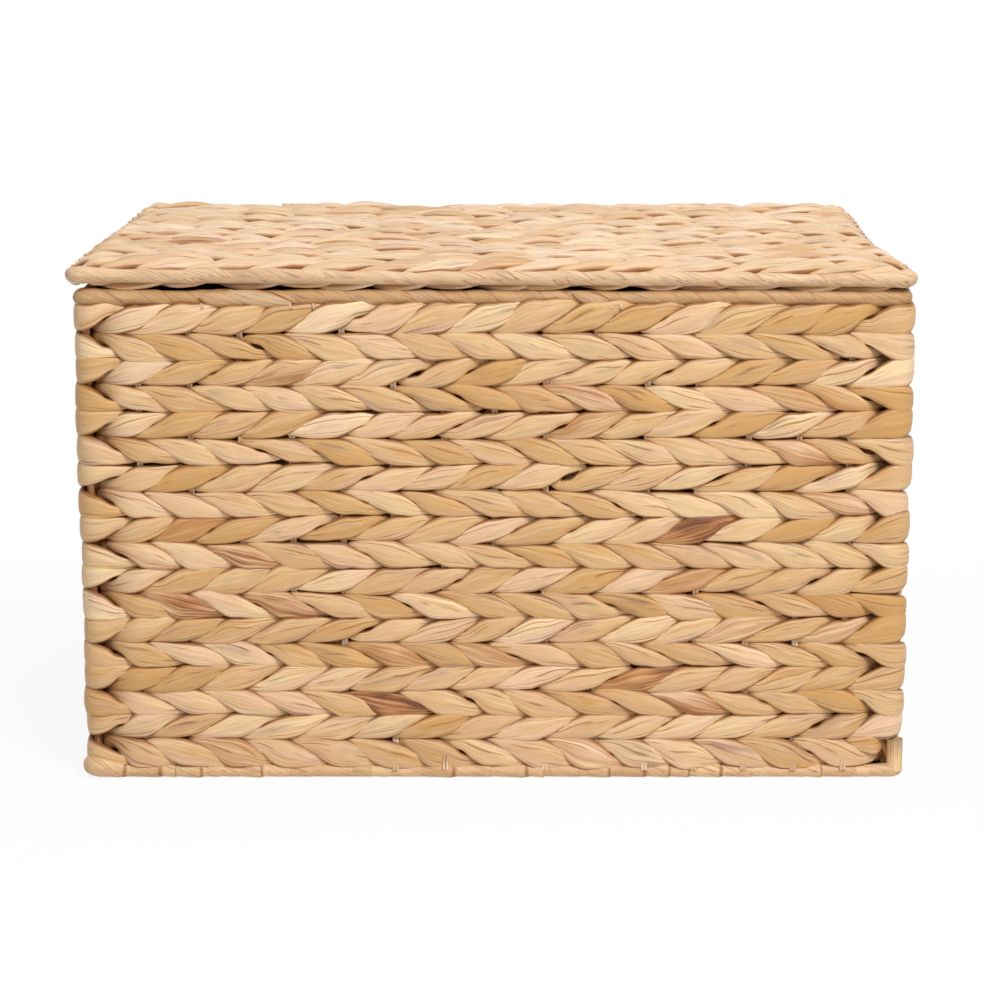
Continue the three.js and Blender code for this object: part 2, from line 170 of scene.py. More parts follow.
def make_piece(name, patches, material, body, nodes):
    points = np.concatenate([patch.points for patch in patches])
    faces = []
    start = 0
    for patch in patches:
        faces.extend([[v + start for v in face] for face in patch.faces])
        start += len(patch.points)
    mesh = bpy.data.meshes.new(name)
    mesh.from_pydata(points.tolist(), [], faces)
    for value in patches[0].values:
        data = np.concatenate([patch.values[value] for patch in patches])
        kind, key = ("FLOAT_VECTOR", "vector") if data.ndim == 2 else ("FLOAT", "value")
        layer = mesh.attributes.new(value, kind, "POINT")
        layer.data.foreach_set(key, data.astype(np.float32).ravel())
    mesh.shade_smooth()
    mesh.materials.append(material)
    piece = bpy.data.objects.new(name, mesh)
    bpy.context.collection.objects.link(piece)
    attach(piece, body)
    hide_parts(*nodes)


# The lines and curves that the strands and rims follow

def rounded_line(s, half_x, half_y, bend):
    """Points and outward normals at s along a rectangle, run against the clock from the front left."""
    corners = np.array([[half_x, -half_y], [half_x, half_y], [-half_x, half_y], [-half_x, -half_y]])
    starts = np.roll(corners, 1, axis=0)
    along = unit(corners - starts)
    outs = np.stack([along[:, 1], -along[:, 0]], -1)
    lengths = np.array([2 * half_x, 2 * half_y] * 2)
    begin = np.concatenate([[0], np.cumsum(lengths)[:-1]])
    s = np.mod(s, lengths.sum())
    k = np.searchsorted(begin, s, side="right") - 1
    run = s - begin[k]
    point = starts[k] + along[k] * run[:, None]
    after = run < bend
    before = run > lengths[k] - bend
    leaving = 0.5 + 0.5 * run / bend
    coming = 0.5 * (run - lengths[k] + bend) / bend
    turn = np.where(after, leaving, np.where(before, coming, 0))
    first = np.where(after, (k + 3) % 4, k)
    second = (first + 1) % 4
    centre = starts[second] - bend * (outs[first] + outs[second])
    angle = turn * math.pi / 2
    bent = outs[first] * np.cos(angle)[:, None] + outs[second] * np.sin(angle)[:, None]
    near = (after | before)[:, None]
    return np.where(near, centre + bend * bent, point), np.where(near, bent, outs[k])


def ease(value, start, end):
    """Nought before start, one after end, and smooth between."""
    share = np.clip((value - start) / (end - start), 0, 1)
    return share * share * (3 - 2 * share)


def course(places, x):
    """A smooth curve through (place, value) pairs that closes on itself from -1 to 1."""
    at, value = np.array(places).T
    at = np.concatenate([at - 2, at, at + 2])
    value = np.tile(value, 3)
    slope = np.gradient(value, at)
    k = np.searchsorted(at, x, side="right") - 1
    step = at[k + 1] - at[k]
    t = (x - at[k]) / step
    return (
        value[k] * (1 + 2 * t) * (1 - t) ** 2
        + value[k + 1] * t * t * (3 - 2 * t)
        + step * slope[k] * t * (1 - t) ** 2
        + step * slope[k + 1] * t * t * (t - 1)
    )


def oval(count, fullness):
    """An oval's angles and (out, up) points, from round at a fullness of 2 to squarer above."""
    angle = np.arange(count) * TAU / count
    power = 2 / fullness
    out = np.sign(np.cos(angle)) * np.abs(np.cos(angle)) ** power
    up = np.sign(np.sin(angle)) * np.abs(np.sin(angle)) ** power
    return angle, out, up


def round_section(count, sides, radius):
    """A round ring's angles, and the same ring at each of count stations."""
    angle = np.arange(sides) * TAU / sides
    ring = radius * np.stack([np.cos(angle), np.sin(angle)], -1)
    return angle, np.repeat(ring[None], count, axis=0)


# Strands

# One leaf of twining, as (place, size) pairs: it comes out from behind a stake at -1, lies over the
# next stake at 0 and goes behind the one after at 1. Sizes are in millimetres from its row's middle.
LEAF_OUT = (
    (-1.0, -1.5), (-0.88, 1.4), (-0.75, 2.7), (-0.5, 3.8), (-0.25, 4.8), (0.0, 5.2),
    (0.25, 4.9), (0.5, 3.7), (0.75, 1.6), (0.87, 0.2),
)
LEAF_RISE = (
    (-1.0, 0.0), (-0.88, -4.9), (-0.75, -5.0), (-0.5, -4.3), (-0.25, -1.9), (0.0, 0.3),
    (0.25, 1.9), (0.5, 4.3), (0.75, 5.0), (0.88, 4.9),
)
LEAF_HALF_HEIGHT = (
    (-1.0, 6.0), (-0.88, 3.2), (-0.75, 3.5), (-0.5, 4.5), (-0.25, 6.7), (0.0, 7.9),
    (0.25, 6.6), (0.5, 4.5), (0.75, 3.6), (0.88, 3.4),
)
LEAF_REACH = 0.9
DIVE_LIMIT = 0.5 * MM
CREST_HALF_DEPTH = 3.1 * MM
END_HALF_DEPTH = 2.9 * MM
SECTION_FULLNESS = 2.9
STALK_GIRTH = 30 * MM
GRAIN_STARTS = (0, 50)

# How leaves differ: shares of their size, and some that come out late
HEIGHT_VARIES = 0.14
DEPTH_VARIES = 0.14
RISE_VARIES = 0.18
RISE_JITTER = 0.9 * MM
LATE_SHARE = 0.15
LATE_BY = (0.12, 0.3)
RAGGED = 0.35 * MM
RAGGED_RUN = np.hanning(7) / np.hanning(7).sum()

# Ridges along a strand, as (waves round it, depth)
STRAND_RIDGES = ((2, 0.035), (5, 0.012))
RIDGE_SHIFT = 0.5
RIDGE_VARIES = 0.8
RIDGE_UP_SHARE = 0.4

# Corners, with widths counted in stakes
DRAWN_WIDTH = 0.3
DRAWN_BROADER = 0.2
CUT_WIDTH = 0.5
CORNER_PULL = 8.5 * MM
CORNER_GAP = 0.3
TORN_WIDTH = 0.3
TORN_THINNER = 0.5
TORN_INWARD = 0.9
TORN_RISE = 5.5 * MM
TORN_RISE_WIDTH = 0.55

# Shade where a strand dives and along its edges
PAINTED_SHADE_STARTS = 2.0 * MM
PAINTED_SHADE_DEEPEST = 4.0 * MM
EDGE_SHADE_WIDTH = 0.16

# Straw tones, leaf by leaf
WALL_TONE = 0.52
WALL_BROWNED = 0.04
TONE_SPREAD = 0.25
TONE_RANGE = (-0.3, 1.1)
TONE_CHANGE = 0.06
SCATTERED_STAIN = (0.2, 0.5)


def leafwise(rng, spread, turns, lap):
    """A random value for each half turn, eased from one half turn to the next."""
    values = rng.uniform(-spread, spread, lap)
    return np.interp(turns % lap, np.arange(lap + 1), np.append(values, values[0]))


def away_from(turns, stake, lap):
    """How many stakes the turns lie past a stake, the short way round."""
    return (turns - stake + lap / 2) % lap - lap / 2


def corner_shares(turns, lap, corners):
    """How far a strand is drawn broad round a post, and how far it cuts a corner short."""
    drawn_round = np.zeros(len(turns))
    cut_short = np.zeros(len(turns))
    for corner in corners:
        away = away_from(turns, corner, lap)
        if round(corner) % 2:
            cut_short += np.exp(-((away / CUT_WIDTH) ** 2))
        else:
            drawn_round += np.exp(-((away / DRAWN_WIDTH) ** 2))
    return drawn_round, cut_short


def leaf_gaps(rng, leaves, corners):
    """By how much each leaf comes out late and dives early, which opens notches between leaves."""
    late = np.where(rng.random(leaves) < LATE_SHARE, rng.uniform(*LATE_BY, leaves), 0.0)
    early = np.zeros(leaves)
    for corner in corners:
        if round(corner) % 2:
            after = int((corner + 1) // 2) % leaves
            late[after] = CORNER_GAP
            early[after - 1] = CORNER_GAP
    return late, early


def strand(
        rng, turns, lap, lean, shape, tones, place, sides,
        corners=(), torn=None, girth=1.0, upright=False):
    """One strand of a twined row. turns counts stakes along it.

    place turns (turns, out, up, tall) into centres, outs and ups for the sweep.
    In front of the stakes the strand comes out from behind its neighbour, swells over the stake and
    narrows to a tip that dives behind the next one. At a corner the front strand is drawn broad and
    flat round the post, and the back strand cuts the corner short, which leaves a small hole. At a
    torn corner the strands are thin and stand away from the post.
    """
    crest = turns + leafwise(rng, shape["wander"], turns, lap)
    drawn_round, cut_short = corner_shares(turns, lap, corners)
    torn_rise = 0.0
    if torn is not None:
        away = away_from(turns, torn, lap)
        torn_away = np.exp(-((away / TORN_WIDTH) ** 4))
        girth = girth * (1 - TORN_THINNER * torn_away)
        cut_short += TORN_INWARD * torn_away
        torn_rise = TORN_RISE * np.exp(-((away / TORN_RISE_WIDTH) ** 2))

    leaves = lap // 2
    leaf = np.floor((crest + 1) / 2).astype(int) % leaves
    late, early = leaf_gaps(rng, leaves, corners)
    along = (crest + 1) % 2 - 1
    along = np.where(along < 0, np.maximum(along * (1 + late[leaf]), -1), along)
    along = np.where(along > 0, np.minimum(along * (1 + early[leaf]), 1), along)

    out = np.maximum(course(LEAF_OUT, along) * MM, DIVE_LIMIT)
    up = course(LEAF_RISE, along) * MM
    half_up = course(LEAF_HALF_HEIGHT, along) * MM
    swell = np.cos(math.pi / 2 * np.clip(np.abs(along) / LEAF_REACH, 0, 1))
    half_out = END_HALF_DEPTH + (CREST_HALF_DEPTH - END_HALF_DEPTH) * swell
    # Painted shade where the strand dives behind a stake, darker the further back it goes
    dive_shade = ease(-out, -PAINTED_SHADE_STARTS, PAINTED_SHADE_DEEPEST)
    tall = 1 + (shape["tall"] - 1) * (1 - np.clip(drawn_round + cut_short, 0, 1))
    half_up = half_up * (1 + leafwise(rng, HEIGHT_VARIES, turns, lap) + DRAWN_BROADER * drawn_round)
    half_out = half_out * (1 + leafwise(rng, DEPTH_VARIES, turns, lap)) * girth
    out = shape["flat"] * out + leafwise(rng, shape["heave"], turns, lap) - CORNER_PULL * cut_short
    up = up * (1 + leafwise(rng, RISE_VARIES, turns, lap)) + leafwise(rng, RISE_JITTER, turns, lap)
    up = up + lean * torn_rise
    half_up = half_up * girth + np.convolve(rng.normal(0, RAGGED, len(turns)), RAGGED_RUN, "same")

    angle, oval_out, oval_up = oval(sides, SECTION_FULLNESS)
    ridges = np.zeros((len(turns), sides))
    for waves, depth in STRAND_RIDGES:
        shift = leafwise(rng, RIDGE_SHIFT, turns, lap)[:, None] + rng.uniform(0, TAU)
        size = 1 + leafwise(rng, RIDGE_VARIES, turns, lap)[:, None]
        ridges += depth * size * np.cos(waves * angle[None] + shift)
    across = np.stack([
        oval_out[None] * half_out[:, None] * (1 + ridges) * shape["flat"],
        oval_up[None] * half_up[:, None] * (1 + RIDGE_UP_SHARE * ridges) * tall[:, None],
    ], -1)
    centres, outs, ups = place(turns, out, lean * tall * up, tall)

    around = angle * STALK_GIRTH / TAU
    grain = grain_of((turns * pitch)[:, None], around[None], rng.uniform(*GRAIN_STARTS))
    tone, stain = tones(rng, crest, lap)
    # Painted shade towards the leaf's upper and lower edges and over its inner side, where it meets its
    # neighbours, and in the holes left where corners are cut short
    edge = ease(np.abs(oval_up), shape["edge"], shape["edge"] + EDGE_SHADE_WIDTH)
    edge = np.where(oval_out < 0, 1, edge)
    painted_shade = np.clip((dive_shade + cut_short)[:, None] + edge[None], 0, 1)
    values = marks(grain, tone[:, None], stain[:, None], painted_shade, (1 - swell)[:, None])
    return sweep(centres, outs, ups, across, lap == STAKES_ROUND, values, upright)


def leaf_tones(stains, middle=WALL_TONE, browned=WALL_BROWNED):
    """Tells how deep the straw colour is along a strand, and how browned it is, leaf by leaf."""

    def tones(rng, crest, lap):
        leaves = lap // 2
        turn = (crest + 1) / 2
        leaf = np.floor(turn).astype(int)
        change = np.clip((turn - leaf - (1 - TONE_CHANGE)) / TONE_CHANGE, 0, 1)
        tone = np.clip(rng.normal(middle, TONE_SPREAD, leaves), *TONE_RANGE)
        stain = np.where(rng.random(leaves) < browned, rng.uniform(*SCATTERED_STAIN, leaves), 0)
        for stake, depth in stains.items():
            stain[(stake // 2) % leaves] = depth
        here = leaf % leaves
        following = (leaf + 1) % leaves
        return (
            tone[here] * (1 - change) + tone[following] * change,
            stain[here] * (1 - change) + stain[following] * change,
        )

    return tones


def strand_stains(browned, row, which):
    """The browned leaves of one of a row's two strands, counted along that strand."""
    return {
        stake - which: depth for (at_row, stake), depth in browned.items()
        if at_row == row and stake % 2 == which
    }


# Rows of the walls, the lid and the base

# Each face of a row: outwards or inwards, stations for each stake, sides round the strand
FINE_FACE = (1, 14, 24)
PLAIN_FACE = (1, 10, 16)
INNER_FACE = (-1, 10, 16)

# edge is where painted shade starts across a leaf, towards its upper and lower edges
WALL_SHAPE = {"flat": 1.0, "tall": 1.0, "wander": 0.12, "heave": 0.5 * MM, "edge": 0.78}
LID_SHAPE = {"flat": 1.0, "tall": 1.06, "wander": 0.22, "heave": 1.5 * MM, "edge": 0.88}
BASE_SHAPE = {"flat": 0.78, "tall": 1.0, "wander": 0.05, "heave": 0.3 * MM, "edge": 0.82}
WALL_SEED = 100
LID_SEED = 300
BASE_SEED = 500

# Browned leaves, as (row, stake from the left): how brown. Wall rows count from the top, the lid's
# from the front.
BROWNED = {
    (5, 10): 0.35, (6, 14): 0.45, (9, 2): 0.34, (9, 12): 0.85, (10, 3): 0.6, (11, 12): 0.4,
    (12, 2): 0.7, (12, 4): 0.55, (13, 15): 0.4, (14, 6): 0.45, (14, 8): 0.4, (15, 11): 0.7,
    (16, 6): 1.0, (18, 10): 0.35,
}
LID_BROWNED_LEAVES = {
    (13, 3): 0.7, (7, 2): 0.8, (9, 6): 0.5, (10, 4): 0.35, (5, 12): 0.3, (14, 11): 0.35,
}
LID_TONE = 0.3
LID_BROWNED = 0.06

# The walls: the first and last rows reach their rims, and the rows between them sag and ripple
EDGE_ROW_STRETCH = 2.6 * MM
ROW_DRIFT = (0.0, 0.22)
ROW_SAG = 2.2 * MM
SAG_BELOW_ROW = 4
SAGGING_ROWS = 13
RIPPLE_WAVES = (5, 8, 13)
RIPPLE_SIZE = (0.15, 0.4)

# Ends of the straight rows
END_TAPER = 14 * MM
END_LEVEL = 0.15
END_GIRTH = 0.35

# The lid's rows, of which the first leans over the front rim
LID_ROW_OVERLAP = 3.6 * MM
FRONT_ROW_SHORT = 1.0 * MM
FRONT_ROW_STRETCH = 5.0 * MM
FRONT_ROW_TILT = 8.0
UNDER_ROW_FLAT = 1.15

# The lid's warp, and how its sides run, with spans as shares of the way from the front to the back
LID_LIFT_LEFT = 1.7 * MM
LID_LIFT_RIGHT = -0.9 * MM
LID_LIFT_BACK = 1.2 * MM
LID_LIFT_LEFT_POWER = 1.4
LID_LIFT_FRONT_POWER = 1.5
LID_DRAWN_IN_RIGHT = 8.5 * MM
LID_DRAWN_IN_RIGHT_SPAN = (0.08, 0.45)
LID_EASED_OUT_RIGHT = 3.5 * MM
LID_EASED_OUT_RIGHT_SPAN = (0.5, 0.9)
LID_DRAWN_IN_LEFT = 3.0 * MM
LID_DRAWN_IN_LEFT_SPAN = (0.5, 0.85)
LID_FRONT_LEFT_PULL = 4.6 * MM
LID_FRONT_LEFT_SPAN = (0.1, 0.7)
LID_BACK_CORNERS = 2.5 * MM
LID_BACK_CORNERS_SPAN = (0.94, 1.0)


def wall_row(row, material):
    node_name = f"wall_row_{row:02d}"
    low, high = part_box(node_name)
    height = high.z - low.z
    stretch = EDGE_ROW_STRETCH if row in (1, WALL_ROWS) else 0
    shape = dict(WALL_SHAPE, tall=1 + stretch / height)
    lean = 1 if row % 2 else -1
    towards_rim = 1 if row == 1 else -1
    rng = np.random.default_rng(WALL_SEED + row)
    sag = ROW_SAG * math.sin(math.pi * np.clip((row - SAG_BELOW_ROW) / SAGGING_ROWS, 0, 1))
    ripples = [(waves, rng.uniform(*RIPPLE_SIZE) * MM, rng.uniform(0, TAU)) for waves in RIPPLE_WAVES]
    drift = rng.uniform(*ROW_DRIFT)

    def place(turns, out, up, tall, face):
        point, normal = rounded_line(turns * pitch, stake_x, stake_y, CORNER_BEND)
        level = (low.z + high.z) / 2 + towards_rim * (tall - 1) * height / 2 - sag
        for waves, size, phase in ripples:
            level = level + size * np.sin(waves * TAU * turns / STAKES_ROUND + phase)
        out = face * out
        inward = np.maximum(-out, 0)
        point = point + normal * np.maximum(out, 0)[:, None]
        if face < 0:
            kept_x = np.clip(point[:, 0], inward - stake_x, stake_x - inward)
            kept_y = np.clip(point[:, 1], inward - stake_y, stake_y - inward)
            point = np.where((inward > 0)[:, None], np.column_stack([kept_x, kept_y]), point)
        else:
            point = point - normal * inward[:, None]
        centres = np.column_stack([point, level + up])
        outs = face * np.column_stack([normal, np.zeros(len(turns))])
        return centres, outs, np.tile(UPWARD, (len(turns), 1))

    strands = []
    for face, steps, sides in (FINE_FACE, INNER_FACE):
        for which in (0, 1):
            turns = np.arange(STAKES_ROUND * steps) / steps - which + drift

            def place_strand(turns, out, up, tall, which=which, face=face):
                return place(turns + which - drift, out, up, tall, face)

            stains = {}
            corners = ()
            torn = None
            if face > 0:
                stains = strand_stains(BROWNED, row, which)
                turning = [0, GAPS_WIDE, GAPS_WIDE + GAPS_DEEP, STAKES_ROUND - GAPS_DEEP]
                if row == WALL_ROWS:
                    turning.remove(GAPS_WIDE)
                    torn = GAPS_WIDE - which + drift
                corners = [corner - which + drift for corner in turning]
            strands.append(strand(
                rng, turns, STAKES_ROUND, face * lean, shape, leaf_tones(stains), place_strand, sides,
                corners, torn, upright=face < 0))
    make_piece(f"weave_wall_{row:02d}", strands, material, "box", [node_name])


def flat_row(rng, centre_y, level, half_length, lean, shape, tones, plan, lift, faces, tilt=0.0):
    """A straight row along X, as in the lid and the base, with an upper and an under face."""
    strands = []
    reach = half_length / pitch
    drift = rng.uniform(-1.0, 1.0) * shape["wander"]
    for face, steps, sides in faces:
        tip = math.radians(tilt) if face > 0 else 0.0
        for which in (0, 1):
            along = np.linspace(-reach, reach, int(2 * reach * steps))
            girth = END_GIRTH + (1 - END_GIRTH) * ease(reach - np.abs(along), 0, END_TAPER / pitch)
            turns = along + GAPS_WIDE / 2 - which + drift

            def place(turns, out, up, tall, which=which, face=face, tip=tip):
                x = (turns - drift + which - GAPS_WIDE / 2) * pitch
                y = centre_y + up * math.cos(tip)
                inward = END_LEVEL + (1 - END_LEVEL) * ease(half_length - np.abs(x), 0, END_TAPER)
                z = level + face * out * inward + up * math.sin(tip) + lift(x, y)
                centres = np.column_stack([plan(x, y), y, z])
                outs = np.tile([0.0, -math.sin(tip), face * math.cos(tip)], (len(turns), 1))
                ups = np.tile([0.0, math.cos(tip), math.sin(tip)], (len(turns), 1))
                return centres, outs, ups

            strands.append(strand(
                rng, turns, GAPS_WIDE + 2, face * lean, shape, tones[which], place, sides, girth=girth))
    return strands


def lid_lift(x, y):
    """The lid has warped: shut, its front stands a little off the rim, most at the left."""
    front = np.clip((lid_y - y) / (2 * lid_y), 0, 1)
    left = np.clip((lid_x - x) / (2 * lid_x), 0, 1)
    along_front = LID_LIFT_RIGHT + (LID_LIFT_LEFT - LID_LIFT_RIGHT) * left**LID_LIFT_LEFT_POWER
    return LID_LIFT_BACK + (along_front - LID_LIFT_BACK) * front**LID_LIFT_FRONT_POWER


def lid_plan(x, y):
    """The lid isn't quite square: its sides draw in behind the front corners and at the back."""
    back = (y + lid_y) / (2 * lid_y)
    corner = LID_BACK_CORNERS * ease(back, *LID_BACK_CORNERS_SPAN)
    right = LID_DRAWN_IN_RIGHT * ease(back, *LID_DRAWN_IN_RIGHT_SPAN) + corner
    right = right - LID_EASED_OUT_RIGHT * ease(back, *LID_EASED_OUT_RIGHT_SPAN)
    left = LID_DRAWN_IN_LEFT * ease(back, *LID_DRAWN_IN_LEFT_SPAN) + corner
    left = left - LID_FRONT_LEFT_PULL * (1 - ease(back, *LID_FRONT_LEFT_SPAN))
    return x + left * np.clip(-x / lid_x, 0, 1) ** 2 - right * np.clip(x / lid_x, 0, 1) ** 2


def square_plan(x, y):
    return x


def no_lift(x, y):
    return np.zeros_like(x)


def lid_row(row, material):
    node_name = f"lid_row_{row:02d}"
    low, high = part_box(node_name)
    rng = np.random.default_rng(LID_SEED + row)
    lean = 1 if row % 2 else -1
    centre_y = (low.y + high.y) / 2
    tones = [
        leaf_tones(strand_stains(LID_BROWNED_LEAVES, row, which), LID_TONE, LID_BROWNED)
        for which in (0, 1)
    ]
    if row > 1:
        half_length = lid_x + LID_ROW_OVERLAP
        strands = flat_row(
            rng, centre_y, lid_z, half_length, lean, LID_SHAPE, tones, lid_plan, lid_lift,
            (FINE_FACE, INNER_FACE))
    else:
        half_length = lid_x - FRONT_ROW_SHORT
        centre_y -= FRONT_ROW_STRETCH / 2
        upper = dict(LID_SHAPE, tall=1 + FRONT_ROW_STRETCH / (high.y - low.y))
        under = dict(upper, flat=UNDER_ROW_FLAT)
        strands = flat_row(
            rng, centre_y, lid_z, half_length, lean, upper, tones, lid_plan, lid_lift,
            (FINE_FACE,), FRONT_ROW_TILT)
        strands += flat_row(
            rng, centre_y, lid_z, half_length, lean, under, tones, lid_plan, lid_lift, (INNER_FACE,))
    make_piece(f"weave_lid_{row:02d}", strands, material, "lid", [node_name])


def base_weave(material):
    row_pitch = (mat_high.y - mat_low.y) / BASE_ROWS
    tones = [leaf_tones({})] * 2
    strands = []
    for row in range(BASE_ROWS):
        rng = np.random.default_rng(BASE_SEED + row)
        centre_y = mat_low.y + (row + 0.5) * row_pitch
        lean = 1 if row % 2 else -1
        strands += flat_row(
            rng, centre_y, mat_z, mat_high.x, lean, BASE_SHAPE, tones, square_plan, no_lift,
            (PLAIN_FACE, INNER_FACE))
    make_piece("weave_base", strands, material, "box", ["base_mat"])


# Wrapped rims

RIM_STEP = 0.7 * MM
RIM_SIDES = 36
RIM_FRONT_LEFT_PULL = 3.2 * MM
RIM_FRONT_LEFT_WIDTH = 12 * MM
KNOB_SIZE = 2.6 * MM
KNOB_WIDTH = 13 * MM
BULB_LENGTH = 16 * MM

# The lid's rim lies low under the rows' ends along the sides, and level at the corners and the back
LID_RIM_DROP = 0.9 * MM
LID_RIM_SLIMMER = 0.8 * MM
LID_SIDE_RIM_LEVEL = -2.6 * MM
SIDE_RIM_WIDTH = 8 * MM
SIDE_RIM_FROM_FRONT = (4 * MM, 20 * MM)
SIDE_RIM_FROM_BACK = (5 * MM, 16 * MM)
BACK_RIM_BEGINS = 12 * MM
BACK_RIM_FULL = 3 * MM

# Turns of strip: how their widths differ, where a turn laps the last one and how high it stands
TURN_WIDTHS = (0.55, 1.6)
TURN_FALLS_AT = 0.8
CLOSE_TURN_STANDS = (0.12, 0.3)
LIFTED_TURN_STANDS = (0.4, 0.8)
TURN_BED = 0.1 * MM
TURN_TONE_SPREAD = 0.16
TURN_TONE_RANGE = (0, 1.2)
# Where along a turn the painted shade of its seam lies, and how wide it is
SEAM_SHADE_MIDDLE = 0.9
SEAM_SHADE_HALF_WIDTH = 0.1
TURN_GRAIN_ALONG = 0.013
TURN_GRAIN_SLANT = 0.4
TURN_GRAIN_START = 0.7

# Slow swelling and wavering along a rim
SLOW_WAVES = (7, 13, 29, 47)
SLOW_WAVE_SIZE = (0.3, 1.0)
RIM_SWELLS = 0.22 * MM
RIM_WAVERS = 0.25 * MM

# Strip ends laid over the rim
LAID_STEPS = 40
LAID_SIDES = 20
LAID_TIP = 0.03
LAID_SWELL_POWER = 0.55
LAID_TIP_THICKNESS = 0.4
LAID_HUG = 2.4
LAID_EDGE_SHADE = 0.75


def near_front_left(x, y, width):
    """One at the body's front left corner, and nought well away from it."""
    return np.exp(-(((x + stake_x) / width) ** 2) - (((y + stake_y) / width) ** 2))


def rim_plan(x, y):
    """The body's rim bulges at its front left corner."""
    return x - RIM_FRONT_LEFT_PULL * near_front_left(x, y, RIM_FRONT_LEFT_WIDTH)


def base_knob(x, y):
    """The base rim is wound thick at the front left corner."""
    return KNOB_SIZE * near_front_left(x, y, KNOB_WIDTH)


def lid_rim_lift(x, y):
    """Along the sides the rows' ends lie over the rim and press it down."""
    from_front = [place - lid_y for place in SIDE_RIM_FROM_FRONT]
    from_back = [place - lid_y for place in SIDE_RIM_FROM_BACK]
    side = ease(np.abs(x), lid_x - SIDE_RIM_WIDTH, lid_x) * ease(y, *from_front) * ease(-y, *from_back)
    back = ease(y, lid_y - BACK_RIM_BEGINS, lid_y - BACK_RIM_FULL)
    return (lid_lift(x, y) + LID_RIM_DROP * back) * (1 - side) + LID_SIDE_RIM_LEVEL * side


def wrapped_ring(
        seed, half_x, half_y, level, radius, strip, plan, lift,
        thicken=no_lift, bulb=0.0, middle=0.0, starts=0, lifts=0.0, seam_shade=0.0):
    """A strip wound round a ring cane. Most turns lie close, and some edges lift.

    plan and lift place the ring, thicken and bulb swell it at one or at all of its corners. middle is the
    strip's tone, starts counts the strips wound side by side, lifts is the share of turns whose
    edge lifts, and seam is how dark the painted shade is along the seams of the other turns; a lifted
    edge is painted fully dark there, as its shadow.
    """
    rng = np.random.default_rng(seed)
    length = 4 * (half_x + half_y)
    count = int(length / RIM_STEP)
    s = np.arange(count) * length / count
    point, normal = rounded_line(s, half_x, half_y, CORNER_BEND)
    x, y = point.T
    angle = np.arange(RIM_SIDES) * TAU / RIM_SIDES
    slow = np.zeros(count)
    for waves in SLOW_WAVES:
        slow += rng.uniform(*SLOW_WAVE_SIZE) * np.sin(waves * TAU * s / length + rng.uniform(0, TAU))
    turns_total = round(length / strip)
    edges = np.concatenate([[0], np.cumsum(rng.uniform(*TURN_WIDTHS, turns_total))])
    winding = np.interp(s, edges / edges[-1] * length, np.arange(turns_total + 1))
    wound = winding[:, None] + starts * angle[None] / TAU
    share = wound % 1
    turn = np.floor(wound).astype(int) % turns_total
    lap = np.where(share > TURN_FALLS_AT, (1 - share) / (1 - TURN_FALLS_AT), share / TURN_FALLS_AT)
    lifted = rng.random(turns_total) < lifts
    stands = np.where(
        lifted, rng.uniform(*LIFTED_TURN_STANDS, turns_total), rng.uniform(*CLOSE_TURN_STANDS, turns_total))
    to_corner = half_x - np.abs(x) + half_y - np.abs(y)
    knob = bulb * np.exp(-((to_corner / BULB_LENGTH) ** 2)) + thicken(x, y)
    reach = radius - TURN_BED + (stands * MM)[turn] * lap + (RIM_SWELLS * slow + knob)[:, None]
    across = np.stack([np.cos(angle)[None] * reach, np.sin(angle)[None] * reach], -1)
    centres = np.column_stack([plan(x, y), y, level + RIM_WAVERS * slow + lift(x, y)])
    outs = np.column_stack([normal, np.zeros(count)])
    grain = grain_of(
        s[:, None] + TURN_GRAIN_ALONG * turn,
        angle[None] * radius + TURN_GRAIN_SLANT * s[:, None],
        TURN_GRAIN_START * turn)
    tone = np.clip(rng.normal(middle, TURN_TONE_SPREAD, turns_total), *TURN_TONE_RANGE)[turn]
    # Painted shade: a dark line at each turn's seam, dark in full under a lifted edge, where its shadow
    # falls
    painted_shade = ease(np.abs(share - SEAM_SHADE_MIDDLE), SEAM_SHADE_HALF_WIDTH, 0.0) * np.where(lifted, 1.0, seam_shade)[turn]
    return sweep(centres, outs, np.tile(UPWARD, (count, 1)), across, True, marks(grain, tone, painted_shade=painted_shade))


def laid_strip(seed, span, turned, half_width, thickness, tone):
    """The end of a rim strip, laid over the front of the body's rim.

    span holds its ends along X, and turned its ends in degrees round the rim: 0 faces out, 90 up.
    """
    rng = np.random.default_rng(seed)
    t = np.linspace(0, 1, LAID_STEPS)
    turn = np.radians(turned[0] + (turned[1] - turned[0]) * t)
    x = span[0] + (span[1] - span[0]) * t
    level = np.zeros(LAID_STEPS)
    outs = np.column_stack([level, -np.cos(turn), np.sin(turn)])
    ups = np.column_stack([level, np.sin(turn), np.cos(turn)])
    centres = np.column_stack([x, level - stake_y, level + top_z]) + top_rim_radius * outs
    _, oval_out, oval_up = oval(LAID_SIDES, SECTION_FULLNESS)
    swell = np.sin(math.pi * np.clip(t, LAID_TIP, 1 - LAID_TIP)) ** LAID_SWELL_POWER
    swell = swell[:, None]
    wide = half_width * swell * oval_up[None]
    thick = thickness * (LAID_TIP_THICKNESS + (1 - LAID_TIP_THICKNESS) * swell) * oval_out[None]
    across = np.stack([thick - wide**2 / (LAID_HUG * top_rim_radius), wide], -1)
    grain = grain_of(x[:, None], (oval_up * half_width)[None], rng.uniform(*GRAIN_STARTS))
    # Painted shade along the strip's edges and over its under side
    edge = np.where(oval_out < 0, 1, ease(np.abs(oval_up), LAID_EDGE_SHADE, 1))
    values = marks(grain, tone, painted_shade=edge[None], taper=1 - swell)
    return sweep(centres, outs, ups, across, False, values)


# Stakes, posts and ring canes

# Front stakes, from the left, whose lower ends show on the base rim
HOOKED_STAKES = (6, 7, 9, 11, 12, 13, 14, 15)
HOOK_OUT = 6.6 * MM
HOOK_TOP = 11 * MM
HOOK_END = 2.0 * MM

